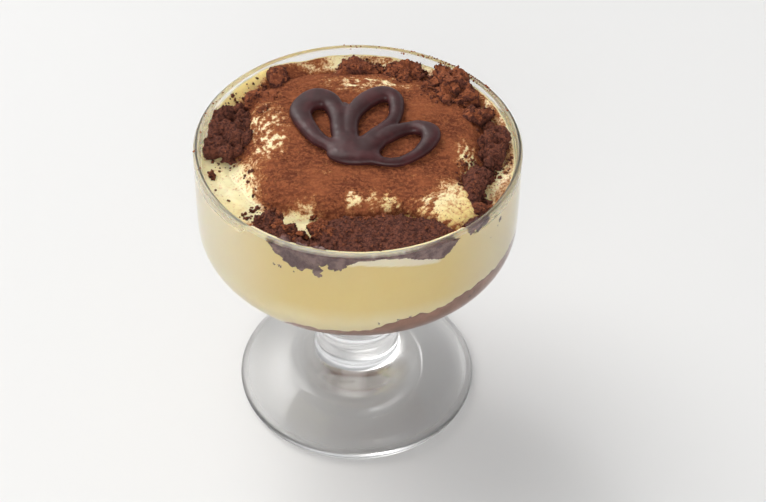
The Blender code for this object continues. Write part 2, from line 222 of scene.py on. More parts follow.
# Each piece of sponge: how thickly it is dusted, how porous and how lumpy it is, how far from the
# glass it is still pressed against it, how far it keeps from the glass, and how far it is moved in
# x and y. Millimetres.
SPONGE_PIECES = {
    "sponge_front": (0.14, 0.3, 0.6, 5.2, 0, 0, 0),
    "sponge_left": (0.12, 1.6, 1.7, 0, 1.3, 0, 0.5),
    "sponge_right": (0.25, 1.8, 1.5, 0, 1.4, 0.3, -0.4),
    "sponge_ridge": (0.72, 0.5, 1.6, 0, 0, 0, 0),
    "sponge_left_back": (0.7, 0.7, 1.3, 0, 0, 3.6, -2.6),
    "sponge_back_left": (0.6, 0.9, 0.8, 0, 0, 0.4, -2.4),
    "sponge_back": (0.5, 0.6, 1.0, 0, 1.0, 0, 0),
    "sponge_back_right": (0.6, 0.7, 1.2, 0, 0, 0, 0),
    "sponge_right_back": (0.8, 0.7, 1.2, 0, 0, 0, 0),
    "sponge_lobe_side": (0.0, 0.1, 0.4, 0, 0, 0.4, -2.6),
    "sponge_front_right": (0.5, 0.6, 1.0, 0, 0, 0, 0),
    "sponge_front_left": (0.15, 0.8, 1.3, 0, 0, 2.4, -5.4),
    "sponge_left_front": (0.35, 0.7, 1.2, 4.4, 0, 0.8, 0),
}

# Smaller fragments that lie between the pieces, in runs round the bowl: from one angle to another
# in degrees, distance from the middle, spread, how many and how large. Millimetres. Cocoa lies on
# the first ones only.
DUSTED_RUNS = (
    (153, 138, 31.0, 0.7, 7, 2.0),
    (100, 64, 36.0, 1.4, 10, 2.0),
    (66, 26, 36.2, 2.2, 16, 2.6),
    (233, 257, 37.6, 1.7, 22, 2.3),
    (246, 292, 28.4, 0.9, 18, 1.5),
    (251, 257, 34.8, 0.8, 7, 2.3),
    (251, 256, 32.0, 0.9, 6, 2.6),
)
PLAIN_RUNS = (
    (24, 10, 34.0, 1.0, 4, 1.9),
    (-12, -23, 36.6, 0.4, 5, 4.3),
    (-36, -28, 37.5, 2.0, 5, 2.2),
)

# Pieces of sponge pressed against the glass: x along its front, height below the rim, and size.
# Millimetres.
PRESSED_CRUMBS = (
    (-18.5, -3.0, 5.5), (-16.5, -4.8, 4.8), (-14.5, -2.6, 5.5), (-13.6, -5.4, 4.6), (-11.4, -2.6, 5.5),
    (-11.2, -5.4, 4.2), (-9.9, -7.2, 2.6), (-9.4, -8.8, 1.5), (-10.4, -8.1, 2.0), (-8.4, -2.6, 4.6),
    (-6.2, -4.6, 3.2), (-4.0, -4.8, 2.4), (-5.4, -5.7, 1.6), (-20.8, -9.2, 1.0), (-19.4, -9.0, 1.3),
    (-15.9, -9.5, 0.9), (-22.2, -8.6, 0.7), (-16.8, -9.0, 0.6), (28.8, -2.0, 2.6), (30.6, -2.2, 3.2),
    (32.4, -2.5, 2.4), (36.2, -6.6, 1.6), (35.6, -8.2, 0.9), (33.9, -10.0, 0.7),
    (5.6, -25.8, 1.0), (10.4, -25.3, 0.9), (13.6, -25.2, 1.1), (29.0, -26.8, 1.6), (30.2, -26.2, 1.1),
)

# The garnish's petals, as closed paths: x, y and thickness of the strand. Millimetres.
PETALS = (
    ((-4.6, -4.6, 0.8), (-10.1, -1.0, 0.8), (-13.7, 4.2, 0.95), (-16.0, 10.3, 1.12), (-14.5, 14.6, 1.2),
     (-11.3, 16.7, 1.32), (-7.9, 15.2, 1.1), (-5.9, 10.6, 0.95), (-5.2, 4.0, 0.9), (-4.6, -1.6, 0.9)),
    ((-1.2, -4.4, 0.9), (-2.4, 1.6, 0.92), (-2.2, 8.4, 0.92), (0.2, 13.8, 0.97), (3.6, 17.8, 1.02),
     (7.3, 19.5, 1.0), (10.2, 17.6, 0.86), (10.6, 12.6, 0.78), (9.2, 7.2, 0.78), (4.6, 1.4, 0.85)),
    ((1.6, -5.0, 0.85), (5.0, -1.2, 0.92), (9.2, 2.4, 0.9), (13.4, 4.7, 0.76), (17.0, 4.9, 0.86),
     (19.8, 2.6, 1.0), (18.9, -1.8, 0.82), (14.8, -6.8, 0.6), (9.8, -9.2, 0.56), (4.6, -8.5, 0.72)),
)
# Where the strands run together: centre, half sizes, turn in degrees and half height. Millimetres.
JOINS = (
    (-1.3, -6.3, 7.8, 4.5, -4, 2.0),
    (-3.5, 4.0, 3.2, 12.2, 3, 1.9),
    (3.4, -2.8, 5.6, 3.4, 38, 1.9),
)
# The strands melt together in a heel, out to these half sizes, and are flattened on top.
HEEL_REACH = (10.5, 6.2)
HEEL_MELTING = 150
FLATTENING = 1.2 * MM
FLAT_FROM = TOP - 1.3 * MM

# Loose crumbs that stand out on the bare cream: x, y, size. Millimetres.
LARGE_CRUMBS = (
    (-39.8, -9.0, 2.6), (-38.4, -14.8, 0.9), (-34.4, -19.0, 1.2), (-30.4, -10.2, 1.3),
    (-28.6, -9.4, 1.6), (-29.4, -12.6, 1.1), (-28.0, -17.4, 1.0), (-27.4, -15.6, 0.8),
)


# The camera: turn in degrees, place in metres and lens in millimetres.
CAMERA_TURN = (45.9686, -0.941, -0.4801)
CAMERA_PLACE = (0.0, -0.307477, 0.349747)
CAMERA_LENS = 68.58
# The floor lies just under the foot, because faces in one plane would flicker.
FLOOR_Z = -0.15 * MM


# --- Settings --------------------------------------------------------------------------------


def length(name, description, default):
    return FloatProperty(
        name=name, description=description, default=default, unit="LENGTH", min=0.0
    )


def share(name, description, default):
    return FloatProperty(
        name=name, description=description, default=default, subtype="FACTOR", min=0.0, max=1.0
    )


def colour(name, description, default):
    return FloatVectorProperty(
        name=name, description=description, default=default, subtype="COLOR", size=3, min=0.0, max=1.0
    )


class GlassSettings(bpy.types.PropertyGroup):
    stem_waist: length("Stem waist", "Radius at the narrowest part of the stem", 12.1 * MM)
    foot_radius: length("Foot radius", "Radius of the foot", FOOT_RADIUS)
    segments: IntProperty(name="Segments", description="Faces round the glass", default=160, min=24)
    tint: colour("Tint", "Colour of the glass in thick parts", (0.995, 0.995, 0.995))
    roughness: share("Roughness", "How much the glass blurs a reflection", 0.015)
    lip_roughness: share("Lip roughness", "How dull the lip is, and the foot in part", 0.35)


class SpongeSettings(bpy.types.PropertyGroup):
    grain: length("Grain", "Size of the faces that hold the crumb", 0.42 * MM)
    pore_size: length("Pore size", "Width of a typical pore", 1.5 * MM)
    pore_depth: length("Pore depth", "Depth of a typical pore", 0.65 * MM)
    light: colour("Crumb", "Colour of the dry crumb", (0.18, 0.06, 0.037))
    # The pore colour is partly the crumb's darker tone and partly painted shade inside the pores.
    dark: colour("Pores", "Colour inside the pores", (0.046, 0.016, 0.0125))
    wet: colour("Soaked sponge", "Colour of the layer at the bottom", (0.3, 0.155, 0.11))
    # The middle of the soaked sponge's underside is painted paler, as painted light seen through the stem.
    wet_underside_painted_light: colour("Milky sponge", "Colour at the middle of its underside", (0.84, 0.78, 0.72))
    # Against the glass the sponge is greyer and paler, partly for the pressed, moist crumb and partly as a
    # painted reflection of the glass.
    pressed_dark_and_sheen: colour("Pressed sponge", "Colour against the glass", (0.14, 0.08, 0.082))
    pressed_pale_and_sheen: colour("Pale pressed sponge", "Its paler mottling", (0.29, 0.19, 0.18))
    crumbs: IntProperty(name="Crumbs", description="Loose crumbs", default=1500, min=0)


class CreamSettings(bpy.types.PropertyGroup):
    grain: length("Grain", "Size of the faces of the mound", 0.36 * MM)
    pale: colour("Cream", "Colour of the cream", (0.97, 0.87, 0.53))
    # The deeper cream is partly the cream's own tone and partly painted: painted shade on the mound's steep
    # sides and the lobe's edge, a painted back-light glow at the back left, and painted deeper yellow on the
    # wall seen through the glass.
    deep_and_painted_light: colour("Deeper cream", "Colour of the cream in its hollows", (0.88, 0.69, 0.27))
    # The milky cream is partly thin cream at the glass and partly painted light: the paler sides, the painted
    # highlight strip and a painted sheen on the lip.
    milky: colour("Milky cream", "Colour of thin or pale cream at the glass", (1.0, 0.9, 0.69))
    roughness: share("Roughness", "How dull the cream is", 0.42)


class CocoaSettings(bpy.types.PropertyGroup):
    light: colour("Cocoa", "Colour of the powder", (0.34, 0.106, 0.044))
    dark: colour("Dark cocoa", "Colour of the powder's clumps", (0.15, 0.042, 0.021))
    thin: colour("Thin cocoa", "Colour where the powder thins out", (0.5, 0.2, 0.075))
    stain: colour("Stained cream", "Colour of the cream beside the powder", (0.66, 0.3, 0.11))
    veil: colour("Veiled cream", "Colour of the cream under a faint dusting", (0.6, 0.31, 0.12))
    grains: IntProperty(name="Grains", description="Separate grains of powder", default=9800, min=0)
    grain_size: length("Grain size", "Width of one grain", 0.2 * MM)


class GarnishSettings(bpy.types.PropertyGroup):
    strand_half_width: length("Strand half width", "Half width of a strand", 2.8 * MM)
    strand_half_height: length("Strand half height", "Half height of a strand", 2.05 * MM)
    chocolate: colour("Chocolate", "Colour of the garnish", (0.037, 0.0095, 0.0105))
    roughness: share("Roughness", "How dull the chocolate is", 0.4)


class StageSettings(bpy.types.PropertyGroup):
    floor: colour("Floor", "Colour of the floor", (0.77, 0.77, 0.77))
    key: FloatProperty(name="Key light", description="Power of the main light", default=95.0, unit="POWER")
    sky: FloatProperty(name="Sky", description="Strength of the light from all round", default=1.0)


# --- Shapes ----------------------------------------------------------------------------------


def bowl_radius(z, bite=0.0):
    """Inside radius of the bowl at a height, grown by how far a filling reaches into the wall."""
    down = np.clip((BELLY_Z - z) / (INNER_DEPTH + bite), 0.0, 1.0)
    flare = LIP_THINNING * smoothstep(LIP_START, HEIGHT - LIP_RADIUS, z)
    return (INNER_RADIUS + bite) * (1 - down**BOWL_POWER) ** (1 / BOWL_POWER) + flare


def base_top(x, y):
    """Height of the soaked sponge."""
    wave = np.sin(x / BASE_WAVE_SIZE[0] + 1.2) * np.cos(y / BASE_WAVE_SIZE[1])
    dip = BASE_DIP * np.maximum(0.0, -x - BASE_DIP_START)
    return BASE_LEVEL + BASE_SLOPE * x + BASE_WAVE * wave - dip


def fill_top(x, y):
    """Height of the cream: nearly level, higher against the glass at the back and front."""
    radius = np.hypot(x, y) / SOLID_WALL
    back = np.maximum(0.0, y / SOLID_WALL)
    front = np.maximum(0.0, -y / SOLID_WALL)
    wall = np.maximum(0.0, (radius - FILL_WALL_START) / (1 - FILL_WALL_START)) ** 1.5
    way = np.degrees(np.arctan2(y, x))
    rise = FILL_BACK_RISE * back**1.5 + FILL_FRONT_RISE * front**3
    for direction, spread, height in FILL_BANKS:
        rise = rise + height * np.exp(-(((way - direction) / spread) ** 4))
    return FILL_LEVEL - FILL_SAG * (1 - wall) + rise * wall


def lobe_share(angle):
    """How much a direction belongs to the lobe, and to the wider place where its side is tucked in."""
    away = (angle - LOBE_ANGLE + math.pi) % math.tau - math.pi
    return np.exp(-((away / LOBE_SPREAD) ** 4)), np.exp(-((away / (1.9 * LOBE_SPREAD)) ** 4))


def mound_reach(angle):
    """How far the mound reaches from its centre in a direction."""
    across = np.abs(np.cos(angle) / MOUND_HALF_X) ** MOUND_POWER
    half_y = np.where(np.sin(angle) > 0, MOUND_HALF_BACK, MOUND_HALF_Y)
    along = np.abs(np.sin(angle) / half_y) ** MOUND_POWER
    oval = (across + along) ** (-1 / MOUND_POWER)
    waves = 0.018 * np.sin(3 * angle + 0.6) + 0.012 * np.sin(5 * angle + 2.0)
    return oval * (1 + waves) + LOBE_REACH * lobe_share(angle)[0]


def smooth_through(points, steps, closed=False):
    """A Catmull-Rom curve through the points, with as many steps between each two."""
    points = np.array(points, float)
    if closed:
        padded = np.vstack([points[-1], points, points[:2]])
    else:
        padded = np.vstack([points[0], points, points[-1]])
    t = (np.arange(steps) / steps)[:, None]
    curve = []
    for before, start, end, after in zip(padded, padded[1:], padded[2:], padded[3:]):
        curve.append(
            0.5 * (2 * start + (end - before) * t
                   + (2 * before - 5 * start + 4 * end - after) * t**2
                   + (3 * start - before - 3 * end + after) * t**3)
        )
    return np.vstack(curve if closed else [*curve, points[-1:]])


def smoothstep(low, high, value):
    t = np.clip((value - low) / (high - low), 0.0, 1.0)
    return t * t * (3 - 2 * t)


def uneven(points, size, octaves=3, seed=0):
    """Fractal noise at each point, about -1 to 1, with bumps of about that size."""
    shift = Vector((seed * 17.3, seed * 5.9, seed * 11.1))
    scaled = (np.asarray(points) / size).tolist()
    return np.array([noise.fractal(Vector(p) + shift, 0.8, 2.1, octaves) for p in scaled])


def pores(points, size, seed=0):
    """How near each point is to the middle of a pore, from 0 to 1."""
    shift = Vector((seed * 3.1, seed * 8.7, 0))
    scaled = (np.asarray(points) / size).tolist()
    near = np.array([noise.voronoi(Vector(p) + shift)[0][0] for p in scaled])
    return 1 - smoothstep(0.12, 0.5, near)


def patch(x, y, row):
    """Strength of a soft-edged patch at each point."""
    centre_x, centre_y, half_x, half_y, turn, strength = row
    c, s = math.cos(math.radians(turn)), math.sin(math.radians(turn))
    dx, dy = x / MM - centre_x, y / MM - centre_y
    u, v = (c * dx + s * dy) / half_x, (c * dy - s * dx) / half_y
    return strength * np.exp(-((u * u + v * v) ** 1.5))


def cocoa_cover(x, y):
    """How fully cocoa covers the cream at a place, from 0 to 1."""
    dx, dy = x - MOUND_CENTRE[0], y - MOUND_CENTRE[1]
    reach = mound_reach(np.arctan2(dy, dx))
    inside = 1 - smoothstep(1.06, 1.22, np.hypot(dx, dy) / reach)
    cover = THIN_COVER + MOUND_COVER * inside
    for row in DUSTED_PATCHES:
        cover = np.maximum(cover, patch(x, y, row))
    # The bare places break up into streaks that run round the mound, the barest ones least.
    outward = np.hypot(dx, dy) / STREAK_WIDTH
    onward = np.arctan2(dy, dx) * 30 * MM / STREAK_LENGTH
    streaks = 1 + 1.3 * uneven(np.stack([outward, onward, 0 * x], -1), 1 * MM, 3, 12)
    for row in BARE_PATCHES:
        cover = cover - patch(x, y, row) * (streaks if row[-1] < 1 else 0.7 + 0.3 * streaks)
    return np.clip(cover, LEAST_COVER * inside, 1.0)


# --- Meshes ----------------------------------------------------------------------------------


def points_of(mesh):
    points = np.empty(len(mesh.vertices) * 3, np.float32)
    mesh.vertices.foreach_get("co", points)
    return points.reshape(-1, 3).astype(float)


def normals_of(mesh):
    normals = np.empty(len(mesh.vertices) * 3, np.float32)
    mesh.vertex_normals.foreach_get("vector", normals)
    return normals.reshape(-1, 3).astype(float)


def move_points(mesh, points):
    """Gives the vertices new places, none of them above the top of the part."""
    points[:, 2] = np.minimum(points[:, 2], TOP)
    mesh.vertices.foreach_set("co", points.astype(np.float32).ravel())
    mesh.update()


def store(mesh, name, values):
    """Keeps one number for each vertex, which the material reads by name."""
    layer = mesh.attributes.new(name, "FLOAT", "POINT")
    layer.data.foreach_set("value", np.asarray(values, np.float32))


def turned_mesh(name, foot, rings, crown):
    """A closed skin over rings of points, from the pole below to the pole above."""
    count, around = rings.shape[:2]
    points = np.vstack([[foot], rings.reshape(-1, 3), [crown]])
    index = 1 + np.arange(count * around).reshape(count, around)
    after = np.roll(index, -1, axis=1)
    faces = np.stack([index[:-1], after[:-1], after[1:], index[1:]], -1).reshape(-1, 4).tolist()
    last = len(points) - 1
    faces += [(0, b, a) for a, b in zip(index[0].tolist(), after[0].tolist())]
    faces += [(last, a, b) for a, b in zip(index[-1].tolist(), after[-1].tolist())]
    mesh = bpy.data.meshes.new(name)
    mesh.from_pydata(points.tolist(), [], faces)
    mesh.update()
    return mesh


def round_points(radius, height, angle):
    """A ring of points round the middle of the bowl."""
    return np.stack([radius * np.cos(angle), radius * np.sin(angle), height + 0 * angle], -1)


def add_object(name, data):
    obj = bpy.data.objects.new(name, data)
    bpy.context.scene.collection.objects.link(obj)
    return obj


def settle(obj):
    """Makes what the modifiers give a piece's own mesh, and returns the mesh object."""
    graph = bpy.context.evaluated_depsgraph_get()
    mesh = bpy.data.meshes.new_from_object(
        obj.evaluated_get(graph), preserve_all_data_layers=True, depsgraph=graph
    )
    name = obj.name
    bpy.data.objects.remove(obj, do_unlink=True)
    mesh.name = name
    return add_object(name, mesh)


def remeshed(obj, voxel, smoothing=0):
    """Gives a closed piece even faces of one size, and softens its corners."""
    modifier = obj.modifiers.new("Even faces", "REMESH")
    modifier.mode = "VOXEL"
    modifier.voxel_size = voxel
    modifier.use_smooth_shade = True
    if smoothing:
        soften = obj.modifiers.new("Soften", "SMOOTH")
        soften.factor = 0.5
        soften.iterations = smoothing
    return settle(obj)


def finish_piece(obj, material, slot, *nodes):
    """Gives a piece its material, and tells the frame what it rides on and replaces."""
    obj.data.materials.clear()
    obj.data.materials.append(material)
    obj.data.shade_smooth()
    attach(obj, "root")
    if nodes:
        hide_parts(*nodes)
    return obj


# --- Materials -------------------------------------------------------------------------------


def put(tree, kind, sockets=None, **settings):
    """Adds a node, with its settings, and its sockets given a value or joined to another's output."""
    node = tree.nodes.new(kind)
    for key, value in settings.items():
        setattr(node, key, value)
    for key, value in (sockets or {}).items():
        if isinstance(value, bpy.types.NodeSocket):
            tree.links.new(value, node.inputs[key])
        else:
            node.inputs[key].default_value = value
    return node


def new_material(name, **sockets):
    material = bpy.data.materials.new(name)
    material.use_nodes = True
    shader = material.node_tree.nodes["Principled BSDF"]
    for key, value in sockets.items():
        shader.inputs[key.replace("_", " ")].default_value = value
    return material, material.node_tree, shader


def grain_node(tree, size, detail=3.0, roughness=0.6, coords=None):
    """Noise with bumps of about that size, on the piece's own coordinates."""
    coords = coords or put(tree, "ShaderNodeTexCoord").outputs["Object"]
    node = put(
        tree, "ShaderNodeTexNoise",
        {"Vector": coords, "Scale": 1 / size, "Detail": detail, "Roughness": roughness},
    )
    return node.outputs["Fac"]


def ranged(tree, value, low, high, new_low=0.0, new_high=1.0):
    node = put(
        tree, "ShaderNodeMapRange",
        {"Value": value, "From Min": low, "From Max": high, "To Min": new_low, "To Max": new_high},
        interpolation_type="SMOOTHSTEP",
    )
    return node.outputs["Result"]


def maths(tree, operation, a, b):
    return put(tree, "ShaderNodeMath", {0: a, 1: b}, operation=operation).outputs[0]


def weighed(tree, a, share_a, b, share_b):
    """The sum of two values, each times its share."""
    return maths(tree, "ADD", maths(tree, "MULTIPLY", a, share_a), maths(tree, "MULTIPLY", b, share_b))


def mixed(tree, factor, a, b):
    """From colour a to colour b by the factor. Each is an output or a colour."""
    node = put(tree, "ShaderNodeMix", {0: factor}, data_type="RGBA")
    for key, value in ((6, a), (7, b)):
        if isinstance(value, bpy.types.NodeSocket):
            tree.links.new(value, node.inputs[key])
        else:
            node.inputs[key].default_value = (*value, 1.0)
    return node.outputs[2]


def attribute(tree, name):
    return put(tree, "ShaderNodeAttribute", attribute_name=name).outputs["Fac"]


def bump(tree, shader, height, distance, strength=1.0):
    node = put(tree, "ShaderNodeBump", {"Height": height, "Distance": distance, "Strength": strength})
    tree.links.new(node.outputs["Normal"], shader.inputs["Normal"])


def glass_material(settings):
    material, tree, shader = new_material(
        "clear_glass", Base_Color=(*settings.tint, 1), Transmission_Weight=1.0, IOR=1.5,
        Roughness=settings.roughness,
    )
    slow = grain_node(tree, 14 * MM, 2.0)
    bump(tree, shader, slow, 0.06 * MM, 0.25)
    dull = ranged(tree, attribute(tree, "dull"), 0, 1, settings.roughness, settings.lip_roughness)
    tree.links.new(dull, shader.inputs["Roughness"])
    return material


def scaled(colour_value, factor):
    return tuple(part * factor for part in colour_value)


def cocoa_colour(tree, settings):
    """Powder in clumps, with darker strokes that run across and dark flecks."""
    coords = put(tree, "ShaderNodeTexCoord").outputs["Object"]
    across = put(tree, "ShaderNodeVectorMath", {0: coords, 1: (0.4, 1.0, 1.0)}, operation="MULTIPLY")
    clumps = grain_node(tree, 0.9 * MM, 4.0, 0.7)
    strokes = grain_node(tree, 1.1 * MM, 2.0, 0.5, across.outputs[0])
    drift = grain_node(tree, 9 * MM, 2.0)
    dark_flecks = grain_node(tree, 0.6 * MM, 1.0, 0.5)
    fine = mixed(tree, ranged(tree, clumps, 0.36, 0.62), settings.dark, settings.light)
    fine = mixed(tree, ranged(tree, strokes, 0.37, 0.49, 0.8, 0.0), fine, settings.dark)
    fine = mixed(tree, ranged(tree, dark_flecks, 0.6, 0.68, 0.0, 0.7), fine, scaled(settings.dark, 0.6))
    return mixed(tree, ranged(tree, drift, 0.4, 0.7, 0.0, 0.55), fine, scaled(settings.light, 1.16))


def cream_material(name, cream, cocoa):
    """Cream, covered by cocoa as far as the piece's own attribute says."""
    material, tree, shader = new_material(
        name, Roughness=cream.roughness, Subsurface_Weight=0.3, Subsurface_Scale=1.6 * MM,
    )
    shader.inputs["Subsurface Radius"].default_value = (1.0, 0.7, 0.3)
    slow = grain_node(tree, 12 * MM, 2.0)
    colour_out = mixed(tree, ranged(tree, slow, 0.35, 0.7, 0.0, 0.5), cream.pale, cream.deep_and_painted_light)
    # Painted light and shade: the cream is deepened where its attribute says, as painted shade or a painted
    # glow.
    colour_out = mixed(tree, attribute(tree, "shaded"), colour_out, cream.deep_and_painted_light)
    # Painted light, partly thin cream: milky cream where its attribute says.
    colour_out = mixed(tree, attribute(tree, "milky"), colour_out, cream.milky)
    cover = attribute(tree, "cocoa")
    speckle = grain_node(tree, 0.75 * MM, 3.0, 0.75)
    broad = grain_node(tree, 2.6 * MM, 2.0, 0.5)
    # From bare cream to powder: a faint veil, a stain beside the powder, thin powder, thick powder.
    powdery = weighed(tree, speckle, 2.0, broad, 0.9)
    reached = maths(tree, "ADD", maths(tree, "MULTIPLY", cover, 1.15), powdery)
    veil = weighed(tree, cover, 1.15, broad, 0.9)
    colour_out = mixed(tree, ranged(tree, veil, 0.72, 1.2, 0.0, 0.75), colour_out, cocoa.veil)
    colour_out = mixed(tree, ranged(tree, reached, 1.5, 2.0, 0.0, 0.85), colour_out, cocoa.stain)
    thin = ranged(tree, reached, 2.04, 2.42, 0.75, 0.0)
    powder_colour = mixed(tree, thin, cocoa_colour(tree, cocoa), cocoa.thin)
    mask = ranged(tree, reached, 1.92, 2.08)
    tree.links.new(mixed(tree, mask, colour_out, powder_colour), shader.inputs["Base Color"])
    for socket, bare, dusted in (
        ("Roughness", cream.roughness, 0.95), ("Subsurface Weight", 0.3, 0.0),
        ("Specular IOR Level", 0.5, 0.12),
    ):
        tree.links.new(ranged(tree, mask, 0, 1, bare, dusted), shader.inputs[socket])
    soft = grain_node(tree, 1.8 * MM, 3.0, 0.5)
    powder = grain_node(tree, 0.4 * MM, 3.0, 0.8)
    height = maths(tree, "ADD", maths(tree, "MULTIPLY", soft, 0.4), maths(tree, "MULTIPLY", mask, powder))
    bump(tree, shader, height, 0.4 * MM, 0.8)
    return material


def sponge_material(name, sponge, cocoa, wet=False):
    """Dark crumb with pores in painted shade, dusted, and greyed where pressed against the glass, partly as a
    painted reflection, by the piece's attributes; or the soaked layer, painted paler at the middle of its
    underside.
    """
    material, tree, shader = new_material(name, Roughness=0.92, Specular_IOR_Level=0.2)
    crumb = grain_node(tree, 0.8 * MM, 4.0, 0.7)
    if wet:
        soft = grain_node(tree, 4 * MM, 3.0)
        colour_out = mixed(tree, ranged(tree, soft, 0.35, 0.7), sponge.wet, scaled(sponge.wet, 1.4))
        # Painted light on the middle of the underside.
        colour_out = mixed(tree, attribute(tree, "milky"), colour_out, sponge.wet_underside_painted_light)
        shader.inputs["Roughness"].default_value = 0.6
    else:
        colour_out = mixed(tree, ranged(tree, crumb, 0.35, 0.65), sponge.dark, sponge.light)
        # Painted shade: the crumb is darkened in its pores.
        colour_out = mixed(tree, attribute(tree, "pore"), colour_out, sponge.dark)
        speckle = grain_node(tree, 0.7 * MM, 3.0, 0.75)
        reached = maths(tree, "ADD", attribute(tree, "cocoa"), speckle)
        colour_out = mixed(tree, ranged(tree, reached, 0.85, 1.15), colour_out, cocoa_colour(tree, cocoa))
        # Against the glass: partly the pressed crumb, partly a painted reflection, greyer and mottled.
        mottle = ranged(tree, grain_node(tree, 3.2 * MM, 3.0, 0.6), 0.38, 0.62)
        pressed_and_painted_sheen = mixed(tree, mottle, sponge.pressed_dark_and_sheen, sponge.pressed_pale_and_sheen)
        colour_out = mixed(tree, attribute(tree, "pressed"), colour_out, pressed_and_painted_sheen)
    tree.links.new(colour_out, shader.inputs["Base Color"])
    bump(tree, shader, crumb, 0.3 * MM, 0.8)
    return material


def powder_material(cocoa):
    material, tree, shader = new_material("cocoa_powder", Roughness=0.95, Specular_IOR_Level=0.15)
    tree.links.new(cocoa_colour(tree, cocoa), shader.inputs["Base Color"])
    return material


def chocolate_material(settings):
    material, tree, shader = new_material(
        "dark_chocolate", Roughness=settings.roughness, Specular_IOR_Level=0.32,
    )
    bloom = grain_node(tree, 5 * MM, 3.0)
    paler = scaled(settings.chocolate, 1.7)
    bloomed = mixed(tree, ranged(tree, bloom, 0.4, 0.7), settings.chocolate, paler)
    tree.links.new(bloomed, shader.inputs["Base Color"])
    fine = grain_node(tree, 1.4 * MM, 3.0, 0.5)
    dull = ranged(tree, fine, 0.3, 0.7, settings.roughness - 0.06, settings.roughness + 0.08)
    tree.links.new(dull, shader.inputs["Roughness"])
    bump(tree, shader, fine, 0.06 * MM, 0.4)
    return material


# --- Geometry Nodes --------------------------------------------------------------------------


def node_group(name, inputs):
    """A geometry tree with those inputs after its geometry: (tree, input sockets, output node)."""
    tree = bpy.data.node_groups.new(name, "GeometryNodeTree")
    tree.interface.new_socket("Geometry", in_out="INPUT", socket_type="NodeSocketGeometry")
    for label, kind in inputs:
        tree.interface.new_socket(label, in_out="INPUT", socket_type=f"NodeSocket{kind}")
    tree.interface.new_socket("Geometry", in_out="OUTPUT", socket_type="NodeSocketGeometry")
    given = tree.nodes.new("NodeGroupInput")
    return tree, given.outputs, tree.nodes.new("NodeGroupOutput")


def run_nodes(obj, tree, values):
    """Puts a tree on an object with its inputs set, and returns the plain mesh that it makes."""
    modifier = obj.modifiers.new(tree.name, "NODES")
    modifier.node_group = tree
    for item in tree.interface.items_tree:
        if item.in_out == "INPUT" and item.name in values:
            modifier[item.identifier] = values[item.name]
    return settle(obj)


def end_tree(tree, given, out, geometry):
    """Gives what a tree made its material, and puts it out."""
    painted = put(tree, "GeometryNodeSetMaterial", {"Geometry": geometry, "Material": given["Material"]})
    tree.links.new(painted.outputs[0], out.inputs[0])
    return tree


def lathe_tree():
    """Turns a row of points into a closed skin round the Z axis."""
    tree, given, out = node_group("lathe", (("Segments", "Int"), ("Material", "Material")))
    count = put(tree, "GeometryNodeAttributeDomainSize", {0: given["Geometry"]}).outputs["Point Count"]
    columns = maths(tree, "ADD", given["Segments"], 1.0)
    grid = put(
        tree, "GeometryNodeMeshGrid",
        {"Size X": 1.0, "Size Y": 1.0, "Vertices X": columns, "Vertices Y": count},
    )
    position = put(tree, "GeometryNodeInputPosition").outputs[0]
    place = put(tree, "ShaderNodeSeparateXYZ", {0: position})
    along = maths(tree, "ADD", place.outputs["Y"], 0.5)
    last = maths(tree, "SUBTRACT", count, 1.0)
    row = maths(tree, "ROUND", maths(tree, "MULTIPLY", along, last), 0.0)
    sample = put(
        tree, "GeometryNodeSampleIndex",
        {"Geometry": given["Geometry"], "Value": position, "Index": row},
        data_type="FLOAT_VECTOR", domain="POINT",
    )
    angle = maths(tree, "MULTIPLY", maths(tree, "ADD", place.outputs["X"], 0.5), math.tau)
    turned = put(
        tree, "ShaderNodeVectorRotate",
        {"Vector": sample.outputs["Value"], "Axis": (0.0, 0.0, 1.0), "Angle": angle},
        rotation_type="AXIS_ANGLE",
    )
    moved = put(
        tree, "GeometryNodeSetPosition", {"Geometry": grid.outputs["Mesh"], "Position": turned.outputs[0]}
    )
    merged = put(
        tree, "GeometryNodeMergeByDistance", {"Geometry": moved.outputs[0], "Distance": 0.002 * MM}
    )
    return end_tree(tree, given, out, merged.outputs[0])


def scatter_tree():
    """Sets a turned and sized copy of a grain on every point, and joins them into one mesh."""
    tree, given, out = node_group(
        "scatter",
        (("Grain", "Object"), ("Smallest", "Float"), ("Largest", "Float"), ("Flatness", "Float"),
         ("Seed", "Int"), ("Material", "Material")),
    )
    points = put(tree, "GeometryNodeMeshToPoints", {"Mesh": given["Geometry"]}).outputs[0]
    grain = put(tree, "GeometryNodeObjectInfo", {"Object": given["Grain"]})
    turn = put(
        tree, "FunctionNodeRandomValue",
        {0: (-math.pi,) * 3, 1: (math.pi,) * 3, "Seed": given["Seed"]}, data_type="FLOAT_VECTOR",
    )
    size = put(
        tree, "FunctionNodeRandomValue",
        {2: given["Smallest"], 3: given["Largest"], "Seed": maths(tree, "ADD", given["Seed"], 1.0)},
        data_type="FLOAT",
    )
    own = put(tree, "GeometryNodeInputNamedAttribute", {"Name": "size"}, data_type="FLOAT")
    scale = maths(tree, "MULTIPLY", size.outputs[1], own.outputs["Attribute"])
    flat = maths(tree, "MULTIPLY", scale, given["Flatness"])
    sizes = put(tree, "ShaderNodeCombineXYZ", {"X": scale, "Y": scale, "Z": flat})
    placed = put(
        tree, "GeometryNodeInstanceOnPoints",
        {"Points": points, "Instance": grain.outputs["Geometry"], "Rotation": turn.outputs[0],
         "Scale": sizes.outputs[0]},
    )
    real = put(tree, "GeometryNodeRealizeInstances", {0: placed.outputs[0]})
    return end_tree(tree, given, out, real.outputs[0])


